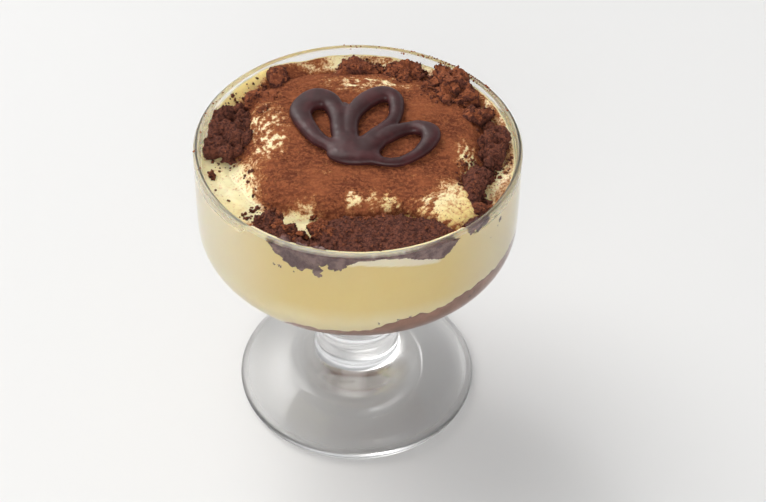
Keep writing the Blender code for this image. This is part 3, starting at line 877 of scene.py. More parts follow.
def strand_tree():
    """Runs an oval section along a closed path."""
    tree, given, out = node_group(
        "piped_strand",
        (("Half Width", "Float"), ("Half Height", "Float"), ("Steps", "Int"), ("Sides", "Int"),
         ("Material", "Material")),
    )
    path = put(tree, "GeometryNodeResampleCurve", {"Curve": given["Geometry"], "Count": given["Steps"]})
    ring = put(tree, "GeometryNodeCurvePrimitiveCircle", {"Resolution": given["Sides"], "Radius": 1.0})
    size = put(
        tree, "ShaderNodeCombineXYZ", {"X": given["Half Width"], "Y": given["Half Height"], "Z": 1.0}
    )
    oval = put(tree, "GeometryNodeTransform", {"Geometry": ring.outputs[0], "Scale": size.outputs[0]})
    skin = put(
        tree, "GeometryNodeCurveToMesh",
        {"Curve": path.outputs[0], "Profile Curve": oval.outputs[0],
         "Scale": put(tree, "GeometryNodeInputRadius").outputs[0]},
    )
    return end_tree(tree, given, out, skin.outputs[0])


# --- The glass -------------------------------------------------------------------------------


def oval_run(radius, depth, steps, last_radius=0.0):
    angle = np.linspace(0, math.pi / 2, steps + 1)
    across = radius * np.clip(np.cos(angle), 0, 1) ** (2 / BOWL_POWER)
    down = depth * np.sin(angle) ** (2 / BOWL_POWER)
    across[-1] = 0.0
    keep = across >= last_radius
    return np.stack([across, BELLY_Z - down], -1)[keep]


def arc(centre, radius, start, stop, steps):
    turn = np.radians(np.linspace(start, stop, steps + 1))
    return np.stack([centre[0] + radius * np.cos(turn), centre[1] + radius * np.sin(turn)], -1)


def glass_outline(settings):
    """From the bowl's floor up its inside, over the lip and down to the middle of the foot."""
    waist, foot = settings.stem_waist, settings.foot_radius
    heights = np.linspace(LIP_START, HEIGHT - 1.1 * MM, 6)
    inside = np.vstack([
        oval_run(INNER_RADIUS, INNER_DEPTH, 40)[::-1], np.stack([bowl_radius(heights), heights], -1)
    ])
    lip = arc((RIM_RADIUS - LIP_RADIUS, HEIGHT - LIP_RADIUS), LIP_RADIUS, 180, 0, 10)
    side = smooth_through(
        [(RIM_RADIUS + 0.02 * MM, HEIGHT - 3 * MM), (BELLY_RADIUS - 0.1 * MM, (BELLY_Z + HEIGHT) / 2),
         (BELLY_RADIUS - 0.01 * MM, BELLY_Z + 3 * MM)], 4)
    outside = oval_run(BELLY_RADIUS, BOWL_DEPTH, 44, STEM_JOIN_RADIUS)
    stem = smooth_through(
        [(STEM_JOIN_RADIUS - 2.4 * MM, 50.6 * MM), (waist + 2.1 * MM, 48.5 * MM), (waist + 0.4 * MM, 42 * MM),
         (waist, 32 * MM), (waist + 0.9 * MM, COLLAR_Z + 2 * MM)], 6)
    cove = smooth_through(
        [(waist + 0.9 * MM, COLLAR_Z), (waist + 0.8 * MM, 17 * MM), (waist + 0.95 * MM, 15 * MM),
         (waist + 1.6 * MM, 13.8 * MM), (15.6 * MM, 11.6 * MM), (17.2 * MM, 9.6 * MM),
         (18.4 * MM, 8.2 * MM)], 4)
    edge = arc((foot - 1.5 * MM, 1.55 * MM), 1.5 * MM, 80, -86, 16)
    plate = smooth_through([(20.5 * MM, 6.5 * MM), (26 * MM, 5.2 * MM), (31 * MM, 4.0 * MM)], 3)
    underside = [(34 * MM, 0.0), (29 * MM, 0.0), (24 * MM, 0.9 * MM), (17.4 * MM, 1.65 * MM),
                 (9 * MM, 2.1 * MM), (0.0, 2.2 * MM)]
    return np.vstack([inside, lip, side, outside, stem, cove, plate, edge, underside])


class TIRAMISU_OT_glass(bpy.types.Operator):
    """Turns the footed glass"""

    bl_idname = "tiramisu.glass"
    bl_label = "Glass"

    def execute(self, context):
        settings = context.scene.tiramisu_glass
        outline = glass_outline(settings)
        mesh = bpy.data.meshes.new("coupe")
        mesh.from_pydata([(r, 0.0, z) for r, z in outline], [], [])
        material = glass_material(settings)
        obj = run_nodes(
            add_object("coupe", mesh), lathe_tree(), {"Segments": settings.segments, "Material": material}
        )
        bm = bmesh.new()
        bm.from_mesh(obj.data)
        bmesh.ops.dissolve_degenerate(bm, dist=0.001 * MM, edges=bm.edges)
        bmesh.ops.recalc_face_normals(bm, faces=bm.faces)
        if bm.calc_volume(signed=True) < 0:
            bmesh.ops.reverse_faces(bm, faces=bm.faces)
        bm.to_mesh(obj.data)
        bm.free()
        points = points_of(obj.data)
        radius = np.hypot(points[:, 0], points[:, 1])
        edge = smoothstep(settings.foot_radius - 3 * MM, settings.foot_radius - MM, radius)
        worn = FOOT_WEAR + EDGE_WEAR * edge
        worn *= smoothstep(COLLAR_Z + 3 * MM, COLLAR_Z, points[:, 2])
        lip = smoothstep(HEIGHT - 1.1 * MM, HEIGHT - 0.5 * MM, points[:, 2])
        store(obj.data, "dull", np.maximum(lip, worn))
        finish_piece(obj, material, "glass", "glass")
        return {"FINISHED"}


# --- Fillings --------------------------------------------------------------------------------


class TIRAMISU_OT_wet_sponge(bpy.types.Operator):
    """Makes the soaked sponge at the bottom"""

    bl_idname = "tiramisu.wet_sponge"
    bl_label = "Soaked sponge"

    def execute(self, context):
        angle = np.linspace(0, math.tau, 360, endpoint=False)
        wall = round_points(INNER_RADIUS, BASE_LEVEL, angle)
        ragged = uneven(wall, 3.2 * MM, 3, 2) * 0.9 * MM + uneven(wall, 1.1 * MM, 2, 5) * 0.35 * MM
        ragged *= smoothstep(-28 * MM, -8 * MM, wall[:, 0])
        along = (wall[:, 0] - BASE_BANK_X) / BASE_BANK_HALF
        bank = BASE_BANK * np.exp(-(along**4)) * (wall[:, 1] < 0)
        edge = base_top(wall[:, 0], wall[:, 1]) + ragged + bank
        foot_z = BELLY_Z - INNER_DEPTH - SPONGE_BITE
        rings = []
        for step in np.linspace(0.02, 1, 26):
            z = foot_z + (edge - foot_z) * step**1.6
            rings.append(round_points(bowl_radius(z, SPONGE_BITE), z, angle))
        edge_radius = bowl_radius(edge, SPONGE_BITE)
        for inward in (0.985, 0.96, 0.9, 0.8, 0.65, 0.45, 0.25, 0.1):
            ring = round_points(edge_radius * inward, 0, angle)
            level = base_top(ring[:, 0], ring[:, 1])
            near = smoothstep(0.9, 1.0, inward)
            ring[:, 2] = level * (1 - near) + edge * near + uneven(ring, 2.2 * MM, 2, 3) * 0.4 * MM
            rings.append(ring)
        mesh = turned_mesh(
            "wet_sponge_base", (0, 0, foot_z), np.array(rings), (0, 0, float(base_top(0.0, 0.0)))
        )
        points = points_of(mesh)
        # Painted light: the middle of the underside is paler, standing in for the light seen through the
        # stem.
        store(mesh, "milky", smoothstep(21 * MM, 15 * MM, np.hypot(points[:, 0], points[:, 1])))
        scene = context.scene
        material = sponge_material("wet_sponge", scene.tiramisu_sponge, scene.tiramisu_cocoa, wet=True)
        finish_piece(add_object("wet_sponge_base", mesh), material, "wet_sponge", "sponge_base")
        return {"FINISHED"}


class TIRAMISU_OT_cream_layer(bpy.types.Operator):
    """Makes the cream that fills the bowl"""

    bl_idname = "tiramisu.cream_layer"
    bl_label = "Cream layer"

    def execute(self, context):
        angle = np.linspace(0, math.tau, 540, endpoint=False)
        radius = INNER_RADIUS + CREAM_BITE
        wall = round_points(radius, 0, angle)
        bottom = base_top(wall[:, 0], wall[:, 1]) - 3 * MM
        wall[:, 2] = FILL_LEVEL
        edge = fill_top(wall[:, 0], wall[:, 1]) + uneven(wall, 6 * MM, 3, 4) * 0.35 * MM
        front = smoothstep(SMEAR_HALF_WIDTH + 3 * MM, SMEAR_HALF_WIDTH, np.abs(wall[:, 0]))
        edge += (SMEAR_TOP - edge) * front * (wall[:, 1] < 0)
        rings = []
        for inward in BOTTOM_RINGS:
            ring = round_points(bowl_radius(bottom) * inward, 0, angle)
            ring[:, 2] = base_top(ring[:, 0], ring[:, 1]) - 1.5 * MM
            rings.append(ring)
        for step in np.linspace(0, 1, WALL_RINGS):
            z = bottom + (edge - bottom) * step
            at_lip = CREAM_BITE_AT_LIP * smoothstep(HEIGHT - 1.0 * MM, HEIGHT - 0.3 * MM, z)
            rings.append(round_points(bowl_radius(z, CREAM_BITE) + at_lip, z, angle))
        for inward in np.linspace(0.99, 0.02, 66):
            ring = round_points(radius * inward, 0, angle)
            level = fill_top(ring[:, 0], ring[:, 1])
            near = smoothstep(0.93, 1.0, inward)
            lumps = uneven(ring, 5 * MM, 3, 4) * 0.45 * MM
            ring[:, 2] = (level + lumps) * (1 - near) + edge * near
            rings.append(ring)
        mesh = turned_mesh(
            "cream_layer", (0, 0, float(base_top(0.0, 0.0)) - 1.5 * MM), np.array(rings),
            (0, 0, float(fill_top(0.0, 0.0))),
        )
        points = points_of(mesh)
        top = np.arange(len(points)) > len(angle) * (len(BOTTOM_RINGS) + WALL_RINGS)
        store(mesh, "cocoa", np.where(top, cocoa_cover(points[:, 0], points[:, 1]), -0.8))
        x, y, z = points.T
        # Painted light and shade on the cream seen through the glass: a painted deeper yellow on the wall,
        # less of it low down, paler painted light at the left and right sides, and paler low down at the
        # front.
        low = smoothstep(HEIGHT - 20 * MM, HEIGHT - 26 * MM, z)
        side = 0.85 * (1 - 0.6 * low)
        left, right = smoothstep(-16 * MM, -38 * MM, x), smoothstep(20 * MM, 38 * MM, x)
        pale = np.maximum(np.maximum(0.75 * left, 0.55 * right), 0.3 * low * (y < 0))
        band = HEIGHT + np.interp(x, *(np.array(column) * MM for column in zip(*FRONT_BAND)))
        # Painted highlight: a paler strip of cream just under the front band.
        thick = HIGHLIGHT_STRIP_HEIGHT * MM * np.maximum(0.0, 1 - ((x / MM - HIGHLIGHT_STRIP_MIDDLE) / HIGHLIGHT_STRIP_HALF_LENGTH) ** 2)
        painted_highlight_strip = smoothstep(band - thick - 0.4 * MM, band - thick, z) * smoothstep(0, 0.8 * MM, thick)
        # The smear at the lip is paler, partly for its thin cream and partly as a painted sheen on the lip.
        smear = smoothstep(SMEAR_FOOT - 0.8 * MM, SMEAR_FOOT, z)
        # Painted back-light glow: the top is deepened where the cream climbs the glass at the back left.
        direction, spread, _ = FILL_BANKS[0]
        bank = np.exp(-(((np.degrees(np.arctan2(y, x)) - direction) / spread) ** 4))
        store(mesh, "shaded", np.where(top, bank, side))
        store(mesh, "milky", np.maximum(pale, np.maximum(painted_highlight_strip * (y < 0), smear)) * ~top)
        scene = context.scene
        material = cream_material("mascarpone_cream", scene.tiramisu_cream, scene.tiramisu_cocoa)
        finish_piece(add_object("cream_layer", mesh), material, "cream", "cream_filling")
        return {"FINISHED"}


class TIRAMISU_OT_mound(bpy.types.Operator):
    """Makes the cocoa-dusted mound of cream on top"""

    bl_idname = "tiramisu.mound"
    bl_label = "Mound of cream"

    def execute(self, context):
        angle = np.linspace(0, math.tau, 300, endpoint=False)
        reach = mound_reach(angle)
        tucked = lobe_share(angle)[1][:, None]
        height = MOUND_TOP - MOUND_FLOOR
        sides = smooth_through(SLOPING_SIDE, 5), smooth_through(TUCKED_SIDE, 5)
        rings = []
        for sloping, under in zip(*sides):
            out, up = (sloping * (1 - tucked) + under * tucked).T
            ring = round_points(reach * out, MOUND_FLOOR + height * up, angle)
            ring[:, :2] += MOUND_CENTRE
            rings.append(ring)
        for inward in (0.25, 0.1):
            ring = round_points(reach * inward, MOUND_TOP, angle)
            ring[:, :2] += MOUND_CENTRE
            rings.append(ring)
        poles = (*MOUND_CENTRE, MOUND_FLOOR), (*MOUND_CENTRE, MOUND_TOP)
        mesh = turned_mesh("cream_mound", poles[0], np.array(rings), poles[1])
        scene = context.scene
        obj = remeshed(add_object("cream_mound", mesh), scene.tiramisu_cream.grain, 4)
        points, normals = points_of(obj.data), normals_of(obj.data)
        cover = cocoa_cover(points[:, 0], points[:, 1]) * smoothstep(-0.1, 0.45, normals[:, 2])
        above = smoothstep(MOUND_FLOOR, FILL_LEVEL, points[:, 2])
        folds = uneven(points, 7 * MM, 2, 1) * 0.35 * MM
        # The powder lies in low ripples that run across.
        ripples = uneven(points * (0.4, 1, 1), 1.3 * MM, 2, 7) * 0.28
        powder = (ripples + uneven(points, 0.9 * MM, 3, 8) * 0.2) * MM * cover
        shift = ((folds - 0.2 * MM) * above + powder)[:, None] * normals
        # The top is only lowered, because the garnish lies on it.
        shift[:, 2] = np.minimum(shift[:, 2], 0.15 * MM)
        move_points(obj.data, points + shift)
        store(obj.data, "cocoa", cover)
        # Painted shade: the lobe's rounded edge and the steep sides are deepened in colour.
        out = points[:, :2] - MOUND_CENTRE
        way = np.arctan2(out[:, 1], out[:, 0])
        rim = smoothstep(0.7, 0.97, np.hypot(*out.T) / mound_reach(way)) * lobe_share(way)[1]
        store(obj.data, "shaded", np.maximum(rim, smoothstep(0.85, 0.3, normals[:, 2])))
        material = cream_material("dusted_cream", scene.tiramisu_cream, scene.tiramisu_cocoa)
        finish_piece(obj, material, "dusted_cream", "cream_top")
        return {"FINISHED"}


# --- Sponge pieces ---------------------------------------------------------------------------


def solid_wall(angle):
    """Radius at which the pieces' solids are trimmed beside the glass."""
    step = math.tau / SOLID_SEGMENTS
    return SOLID_WALL * math.cos(step / 2) / np.cos(angle % step - step / 2)


def sponge_wall(z):
    """Radius out to which sponge and crumbs may reach, less beside the lip."""
    at_lip = smoothstep(SMEAR_FOOT - 0.2 * MM, SMEAR_FOOT + 0.2 * MM, z)
    return bowl_radius(z, SPONGE_BITE - SPONGE_BITE_LOST_AT_LIP * at_lip)


def press_on_glass(points, within):
    """Moves what lies beside the glass just into its wall. Also says how pressed each point is."""
    radius = np.hypot(points[:, 0], points[:, 1])
    angle = np.arctan2(points[:, 1], points[:, 0])
    trimmed = solid_wall(angle)
    if not within:
        return np.zeros(len(points))
    pressed = smoothstep(0.0, 1.0, (radius - trimmed + within) / (0.9 * within))
    across, depths = (np.array(column) * MM for column in zip(*FRONT_BAND))
    lowest = HEIGHT + np.interp(points[:, 0], across, depths) + uneven(points, 1.4 * MM, 2, 9) * 0.25 * MM
    pressed *= smoothstep(lowest - 0.4 * MM, lowest + 0.2 * MM, points[:, 2])
    wall = sponge_wall(points[:, 2])
    grown = radius + (wall - radius) * pressed
    points[:, :2] *= (np.minimum(grown, wall) / radius)[:, None]
    return pressed


def make_sponge_piece(name, seed, settings, material):
    """Breaks up the surface of one solid piece, and presses it on the glass where it touches."""
    dust, porous, lumpy, within, away, shift_x, shift_y = SPONGE_PIECES[name]
    source = frame["nodes"][name].data.copy()
    bm = bmesh.new()
    bm.from_mesh(source)
    bmesh.ops.remove_doubles(bm, verts=bm.verts, dist=0.01 * MM)
    bm.to_mesh(source)
    bm.free()
    obj = add_object(name.replace("sponge_", "crumb_sponge_"), source)
    obj = remeshed(obj, settings.grain, 9)
    mesh = obj.data
    points, normals = points_of(mesh), normals_of(mesh)
    points[:, :2] += (shift_x * MM, shift_y * MM)
    radius = np.hypot(points[:, 0], points[:, 1])
    outer = (radius - radius.min()) / (radius.max() - radius.min())
    points[:, :2] *= (1 - away * MM * outer / radius)[:, None]
    pressed = press_on_glass(points, within * MM)
    pore = pores(points, settings.pore_size, seed)
    pore *= smoothstep(-0.25, 0.25, uneven(points, 4 * MM, 2, seed))
    pore *= min(1.0, porous)
    lumps = uneven(points, 6 * MM, 2, seed + 10) * 1.9 * MM
    lumps = lumps + uneven(points, 2.4 * MM, 3, seed + 20) * 0.9 * MM
    crumb = uneven(points, 0.9 * MM, 3, seed + 40) * 0.32 * MM
    shift = lumps * lumpy + crumb - pore * settings.pore_depth * max(1.0, porous)
    points += normals * (shift * (1 - pressed))[:, None]
    radius = np.hypot(points[:, 0], points[:, 1])
    inmost = (INNER_RADIUS - 0.4 * MM) * (1 - pressed) + radius * pressed
    points[:, :2] *= (np.minimum(radius, inmost) / radius)[:, None]
    move_points(mesh, points)
    up = smoothstep(0.1, 0.85, normals_of(mesh)[:, 2])
    near_mound = cocoa_cover(points[:, 0], points[:, 1])
    store(mesh, "cocoa", np.maximum(dust, min(0.9, 1.7 * dust) * near_mound) * up * (1 - pressed))
    store(mesh, "pore", np.clip(pore * (1 - pressed), 0, 1))
    store(mesh, "pressed", smoothstep(0.9, 1.0, pressed) * smoothstep(0.6, 0.3, np.abs(normals[:, 2])))
    return finish_piece(obj, material, "sponge", name)


class TIRAMISU_OT_sponge_pieces(bpy.types.Operator):
    """Makes the broken pieces of sponge"""

    bl_idname = "tiramisu.sponge_pieces"
    bl_label = "Sponge pieces"

    def execute(self, context):
        scene = context.scene
        material = sponge_material("chocolate_sponge", scene.tiramisu_sponge, scene.tiramisu_cocoa)
        for seed, name in enumerate(SPONGE_PIECES):
            make_sponge_piece(name, seed, scene.tiramisu_sponge, material)
        return {"FINISHED"}


# --- What is scattered -----------------------------------------------------------------------


def surfaces():
    """The pieces that crumbs and powder lie on, as one tree to drop points on."""
    points, faces = [], []
    for obj in bpy.context.scene.objects:
        if obj.type != "MESH" or not obj.name.startswith(("cream_l", "cream_m", "crumb_sponge")):
            continue
        start = len(points)
        points += [v.co.copy() for v in obj.data.vertices]
        faces += [[start + i for i in p.vertices] for p in obj.data.polygons]
    return BVHTree.FromPolygons(points, faces)


def dropped(tree, places, sink):
    """Each place's point on what lies under it, sunk a little."""
    found = []
    for x, y in places:
        hit, normal, _, _ = tree.ray_cast(Vector((x, y, TOP + 5 * MM)), Vector((0, 0, -1)))
        if hit is not None:
            found.append(hit - normal * sink)
    return found


def make_lump(name, seed, subdivisions, rough):
    """A small uneven grain, one unit across."""
    bm = bmesh.new()
    bmesh.ops.create_icosphere(bm, subdivisions=subdivisions, radius=0.5)
    for vert in bm.verts:
        shift = Vector((seed, 0, 0))
        broad, fine = noise.noise(vert.co * 3.1 + shift), noise.fractal(vert.co * 9 + shift, 0.8, 2.1, 2)
        vert.co *= 1 + rough * (broad + 0.3 * fine)
    mesh = bpy.data.meshes.new(name)
    bm.to_mesh(mesh)
    bm.free()
    return add_object(name, mesh)


def scatter(
    name, points, sizes, grain, smallest, largest, material, slot, seed, flatness=1.0, dust=0.0, inside=True
):
    """Sets a grain on each point, and moves what would pass through the glass inside it."""
    mesh = bpy.data.meshes.new(name)
    mesh.from_pydata([tuple(p) for p in points], [], [])
    store(mesh, "size", sizes)
    obj = run_nodes(
        add_object(name, mesh), bpy.data.node_groups.get("scatter") or scatter_tree(),
        {"Grain": grain, "Smallest": smallest, "Largest": largest, "Flatness": flatness, "Seed": seed,
         "Material": material},
    )
    points = points_of(obj.data)
    radius = np.hypot(points[:, 0], points[:, 1])
    if inside:
        points[:, :2] *= np.minimum(1, sponge_wall(points[:, 2]) / radius)[:, None]
    move_points(obj.data, points)
    store(obj.data, "cocoa", dust * smoothstep(-0.1, 0.7, normals_of(obj.data)[:, 2]))
    store(obj.data, "pressed", smoothstep(-0.5 * MM, 0, radius - INNER_RADIUS))
    return finish_piece(obj, material, slot)


class TIRAMISU_OT_fragments(bpy.types.Operator):
    """Lays fragments of sponge between the pieces"""

    bl_idname = "tiramisu.fragments"
    bl_label = "Fragments"

    def execute(self, context):
        draw = np.random.default_rng(7)
        tree = surfaces()
        grains = [make_lump(f"fragment_{seed}", 30.0 + 7 * seed, 4, 0.65) for seed in range(3)]
        material = bpy.data.materials["chocolate_sponge"]
        kinds = ("dusted_fragments", DUSTED_RUNS, 0.75), ("plain_fragments", PLAIN_RUNS, 0.12)
        for grain, (name, runs, dust) in zip(grains, kinds):
            places, sizes = [], []
            for start, stop, middle, spread, count, size in runs:
                for way in np.radians(np.linspace(start, stop, count)):
                    radius = min(middle + draw.normal(0, spread), 41.5) * MM
                    way += draw.normal(0, 0.02)
                    places.append((radius * math.cos(way), radius * math.sin(way)))
                    sizes.append(size * (0.55 + 0.75 * draw.random() ** 1.5))
            scatter(
                name, dropped(tree, places, 0.25 * MM), sizes, grain, 0.9 * MM, 1.1 * MM, material,
                "sponge", 41, 0.8, dust,
            )
        pressed = []
        for x, z, _ in PRESSED_CRUMBS:
            radius = float(bowl_radius(HEIGHT + z * MM, -0.3 * MM))
            pressed.append((x * MM, -math.sqrt(radius**2 - (x * MM) ** 2), HEIGHT + z * MM))
        scatter(
            "pressed_crumbs", pressed, [size for _, _, size in PRESSED_CRUMBS], grains[2], 0.9 * MM, 1.1 * MM,
            material, "sponge", 47, 0.9, 0.05,
        )
        for grain in grains:
            bpy.data.objects.remove(grain)
        return {"FINISHED"}


class TIRAMISU_OT_crumbs(bpy.types.Operator):
    """Scatters loose crumbs of sponge"""

    bl_idname = "tiramisu.crumbs"
    bl_label = "Crumbs"

    def execute(self, context):
        scene = context.scene
        draw = np.random.default_rng(11)
        tree = surfaces()
        places, sizes = [], []
        for x, y, size in LARGE_CRUMBS:
            for part in range(5 if size > 1.5 else 2):
                spread = draw.normal(0, size * 0.22, 2) * MM
                places.append((x * MM + spread[0], y * MM + spread[1]))
                sizes.append(size * (0.75 if part == 0 else 0.5))
        centres = [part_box(name) for name in SPONGE_PIECES]
        weights = np.array([(high.x - low.x) + (high.y - low.y) for low, high in centres])
        for index in draw.choice(len(centres), scene.tiramisu_sponge.crumbs, p=weights / weights.sum()):
            low, high = centres[index]
            middle, half = (low + high) / 2, (high - low) / 2
            way = draw.uniform(0, math.tau)
            out = draw.uniform(0.0, 1.0) ** 0.4 + abs(draw.normal(0, 0.1))
            place = (middle.x + half.x * out * math.cos(way), middle.y + half.y * out * math.sin(way))
            on_lobe = math.dist(place, LOBE_TIP) < LOBE_CLEAR
            if math.hypot(*place) < INNER_RADIUS - 0.6 * MM and not on_lobe:
                places.append(place)
                sizes.append(0.35 + 0.9 * draw.random() ** 2.5)
        points = dropped(tree, places, 0.05 * MM)
        grain = make_lump("crumb_grain", 4.0, 2, 0.9)
        material = bpy.data.materials["chocolate_sponge"]
        scatter(
            "sponge_crumbs", points, sizes[: len(points)], grain, 0.8 * MM, 1.15 * MM, material, "sponge", 5,
            dust=0.45,
        )
        bpy.data.objects.remove(grain)
        return {"FINISHED"}


class TIRAMISU_OT_cocoa(bpy.types.Operator):
    """Scatters grains of cocoa"""

    bl_idname = "tiramisu.cocoa"
    bl_label = "Cocoa"

    def execute(self, context):
        scene = context.scene
        settings = scene.tiramisu_cocoa
        draw = np.random.default_rng(23)
        tree = surfaces()
        material = powder_material(settings)
        grain = make_lump("powder_grain", 9.0, 1, 0.5)
        tries = draw.uniform(-INNER_RADIUS, INNER_RADIUS, (settings.grains * 13, 2))
        tries = tries[np.hypot(*tries.T) < INNER_RADIUS - 0.3 * MM]
        cover = cocoa_cover(*tries.T)
        # Most grains lie where the dusting thins out, because there they show one by one.
        thinning = smoothstep(0.05, 0.4, cover) * (1 - smoothstep(0.6, 0.95, cover))
        chance = 0.05 + 0.25 * cover + 0.75 * thinning
        places = tries[draw.random(len(tries)) < chance][: settings.grains]
        points = dropped(tree, places, 0.02 * MM)
        sizes = 0.6 + 1.2 * draw.random(len(points)) ** 3
        small = settings.grain_size
        slot = "dusted_cream"
        scatter("cocoa_dust", points, sizes, grain, small * 0.7, small * 1.3, material, slot, 31)
        # Specks that fell on the inside of the rim.
        count = 240
        around = np.concatenate([
            draw.normal(math.radians(52), math.radians(20), count),
            draw.normal(math.radians(165), math.radians(14), count // 5),
        ])
        turn = np.clip(draw.normal(math.radians(110), math.radians(35), len(around)), 0, math.pi)
        reach = RIM_RADIUS - LIP_RADIUS + LIP_RADIUS * np.cos(turn)
        height = HEIGHT - LIP_RADIUS + LIP_RADIUS * np.sin(turn)
        specks = np.stack([reach * np.cos(around), reach * np.sin(around), height], -1)
        sizes = 0.6 + 2.2 * draw.random(len(specks)) ** 4
        scatter("rim_specks", specks, sizes, grain, small, small * 1.6, material, slot, 37, inside=False)
        bpy.data.objects.remove(grain)
        return {"FINISHED"}


# --- The garnish -----------------------------------------------------------------------------


def petal_path(name, petal, settings, seed):
    """A closed path whose radius swells and thins as a piped strand does."""
    x, y, thickness = smooth_through(petal, 8, closed=True).T
    z = MOUND_TOP - 0.1 * MM + 0.75 * settings.strand_half_height * thickness
    places = np.column_stack([x * MM, y * MM, z, np.ones(len(x))])
    curve = bpy.data.curves.new(name, "CURVE")
    curve.dimensions = "3D"
    spline = curve.splines.new("POLY")
    spline.points.add(len(places) - 1)
    spline.points.foreach_set("co", places.ravel())
    spline.points.foreach_set("radius", thickness * (1 + 0.04 * uneven(places[:, :3], 9 * MM, 2, seed)))
    spline.use_cyclic_u = True
    return add_object(name, curve)


class TIRAMISU_OT_garnish(bpy.types.Operator):
    """Pipes the chocolate garnish"""

    bl_idname = "tiramisu.garnish"
    bl_label = "Garnish"

    def execute(self, context):
        settings = context.scene.tiramisu_garnish
        material = chocolate_material(settings)
        tree = strand_tree()
        bm = bmesh.new()
        for seed, petal in enumerate(PETALS):
            strand = run_nodes(
                petal_path(f"petal_{seed}", petal, settings, seed), tree,
                {"Half Width": settings.strand_half_width, "Half Height": settings.strand_half_height,
                 "Steps": 120, "Sides": 32, "Material": material},
            )
            bm.from_mesh(strand.data)
            bpy.data.objects.remove(strand)
        for x, y, half_length, half_width, turn, half_height in JOINS:
            middle = Vector((x * MM, y * MM, MOUND_TOP + 1.1 * MM))
            place = Matrix.Translation(middle) @ Euler((0, 0, math.radians(turn))).to_matrix().to_4x4()
            size = Matrix.Diagonal((half_length * MM, half_width * MM, half_height * MM, 1.0))
            bmesh.ops.create_icosphere(bm, subdivisions=4, radius=1, matrix=place @ size)
        bmesh.ops.recalc_face_normals(bm, faces=bm.faces)
        mesh = bpy.data.meshes.new("chocolate_flower")
        bm.to_mesh(mesh)
        bm.free()
        obj = remeshed(add_object("chocolate_flower", mesh), 0.26 * MM, 10)
        # Where the strands run together they melt into one smooth heel.
        points = points_of(obj.data)
        x, y = ((points[:, :2] / MM - JOINS[0][:2]) / HEEL_REACH).T
        group = obj.vertex_groups.new(name="heel")
        for index, weight in enumerate(smoothstep(1.4, 0.9, np.hypot(x, y)).tolist()):
            if weight:
                group.add([index], weight, "REPLACE")
        melt = obj.modifiers.new("Melt", "SMOOTH")
        melt.iterations = HEEL_MELTING
        melt.vertex_group = "heel"
        obj = settle(obj)
        points = points_of(obj.data)
        normals = normals_of(obj.data)
        wobble = uneven(points, 4.5 * MM, 2, 6) * 0.12 * MM
        points += normals * wobble[:, None]
        # The strands are flattened on top, so that thick ones stand no higher than thin ones.
        above = np.maximum(0, points[:, 2] - FLAT_FROM)
        points[:, 2] += FLATTENING * (1 - np.exp(-above / FLATTENING)) - above
        move_points(obj.data, points)
        finish_piece(obj, material, "dark_chocolate", "chocolate_garnish")
        return {"FINISHED"}


# --- The stage -------------------------------------------------------------------------------


def add_light(name, place, power, width, tone):
    """A soft box aimed at the dessert, dimmer towards its edges."""
    data = bpy.data.lights.new(name, "AREA")
    data.energy, data.size, data.color = power, width, tone
    data.use_nodes = True
    tree = data.node_tree
    spot = put(tree, "ShaderNodeNewGeometry").outputs["Parametric"]
    away = put(tree, "ShaderNodeVectorMath", {0: spot, 1: (0.5, 0.5, 0.0)}, operation="DISTANCE")
    glow = ranged(tree, away.outputs["Value"], 0.5, 0.12, 0.0, 2.6)
    tree.links.new(glow, tree.nodes["Emission"].inputs["Strength"])
    obj = add_object(name, data)
    obj.location = place
    obj.rotation_euler = (Vector((0, 0, 0.06)) - Vector(place)).to_track_quat("-Z", "Y").to_euler()


class TIRAMISU_OT_stage(bpy.types.Operator):
    """Sets the floor, the lights and the camera"""

    bl_idname = "tiramisu.stage"
    bl_label = "Stage"

    def execute(self, context):
        scene = context.scene
        settings = scene.tiramisu_stage
        bm = bmesh.new()
        bmesh.ops.create_grid(bm, x_segments=8, y_segments=8, size=2.5)
        bmesh.ops.translate(bm, verts=bm.verts, vec=(0, 0, FLOOR_Z))
        mesh = bpy.data.meshes.new("floor")
        bm.to_mesh(mesh)
        bm.free()
        floor = add_object("floor", mesh)
        material, _, _ = new_material("pale_floor", Base_Color=(*settings.floor, 1), Roughness=0.7)
        mesh.materials.append(material)
        add_light("key_light", (-1.5, 1.35, 2.6), settings.key, 4.4, (1.0, 0.985, 0.96))
        add_light("fill_light", (-0.15, -1.1, 0.5), settings.key * 0.1, 1.5, (1.0, 0.985, 0.96))
        add_light("back_light", (-0.4, 0.85, 1.0), settings.key * 0.02, 0.35, (1.0, 1.0, 1.0))
        world = bpy.data.worlds.new("studio")
        world.use_nodes = True
        background = world.node_tree.nodes["Background"]
        background.inputs["Color"].default_value = (0.98, 0.99, 1.0, 1)
        # White all round near the floor, dimmer overhead.
        way = put(world.node_tree, "ShaderNodeTexCoord").outputs["Generated"]
        rise = put(world.node_tree, "ShaderNodeSeparateXYZ", {0: way}).outputs["Z"]
        glow = ranged(world.node_tree, rise, 0.15, 0.75, settings.sky * 0.95, settings.sky * 0.3)
        world.node_tree.links.new(glow, background.inputs["Strength"])
        scene.world = world
        camera = add_object("camera", bpy.data.cameras.new("camera"))
        camera.data.sensor_width = 36
        camera.data.lens = CAMERA_LENS
        camera.rotation_euler = [math.radians(angle) for angle in CAMERA_TURN]
        camera.location = CAMERA_PLACE
        camera.data.clip_start = 0.01
        scene.camera = camera
        scene.view_settings.view_transform = "Standard"
        return {"FINISHED"}


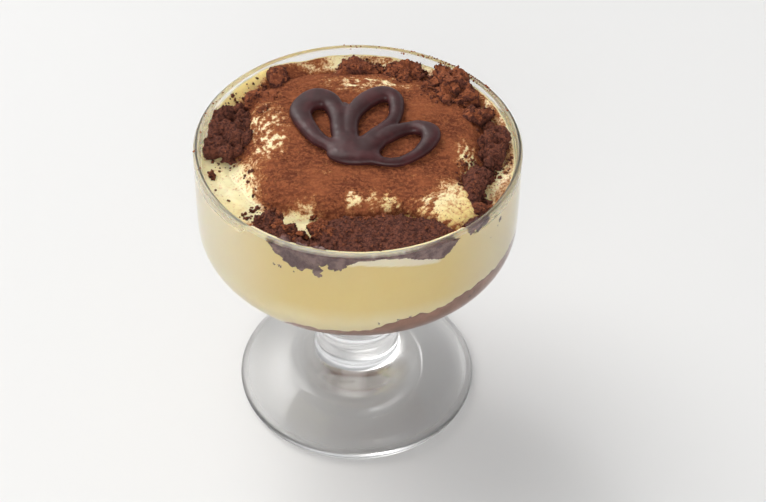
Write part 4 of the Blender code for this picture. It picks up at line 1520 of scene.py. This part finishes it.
# --- Add-on ----------------------------------------------------------------------------------

SETTINGS = {
    "tiramisu_glass": GlassSettings,
    "tiramisu_sponge": SpongeSettings,
    "tiramisu_cream": CreamSettings,
    "tiramisu_cocoa": CocoaSettings,
    "tiramisu_garnish": GarnishSettings,
    "tiramisu_stage": StageSettings,
}
STEPS = (
    TIRAMISU_OT_glass,
    TIRAMISU_OT_wet_sponge,
    TIRAMISU_OT_cream_layer,
    TIRAMISU_OT_mound,
    TIRAMISU_OT_sponge_pieces,
    TIRAMISU_OT_fragments,
    TIRAMISU_OT_crumbs,
    TIRAMISU_OT_cocoa,
    TIRAMISU_OT_garnish,
    TIRAMISU_OT_stage,
)


class TIRAMISU_PT_panel(bpy.types.Panel):
    """Lists the steps and their settings"""

    bl_idname = "TIRAMISU_PT_panel"
    bl_label = "Tiramisu"
    bl_space_type = "VIEW_3D"
    bl_region_type = "UI"
    bl_category = "Tiramisu"

    def draw(self, context):
        for name, group in SETTINGS.items():
            box = self.layout.box()
            box.label(text=group.__name__.replace("Settings", ""))
            for key in group.__annotations__:
                box.prop(getattr(context.scene, name), key)
        for step in STEPS:
            self.layout.operator(step.bl_idname)


def register():
    for thing in (*SETTINGS.values(), *STEPS, TIRAMISU_PT_panel):
        bpy.utils.register_class(thing)
    for name, group in SETTINGS.items():
        setattr(bpy.types.Scene, name, PointerProperty(type=group))


def unregister():
    for name in SETTINGS:
        delattr(bpy.types.Scene, name)
    for thing in (TIRAMISU_PT_panel, *reversed(STEPS), *SETTINGS.values()):
        bpy.utils.unregister_class(thing)


def main():
    register()
    bpy.ops.tiramisu.glass()
    bpy.ops.tiramisu.wet_sponge()
    bpy.ops.tiramisu.cream_layer()
    bpy.ops.tiramisu.mound()
    bpy.ops.tiramisu.sponge_pieces()
    bpy.ops.tiramisu.fragments()
    bpy.ops.tiramisu.crumbs()
    bpy.ops.tiramisu.cocoa()
    bpy.ops.tiramisu.garnish()
    bpy.ops.tiramisu.stage()


if __name__ == "__main__":
    main()
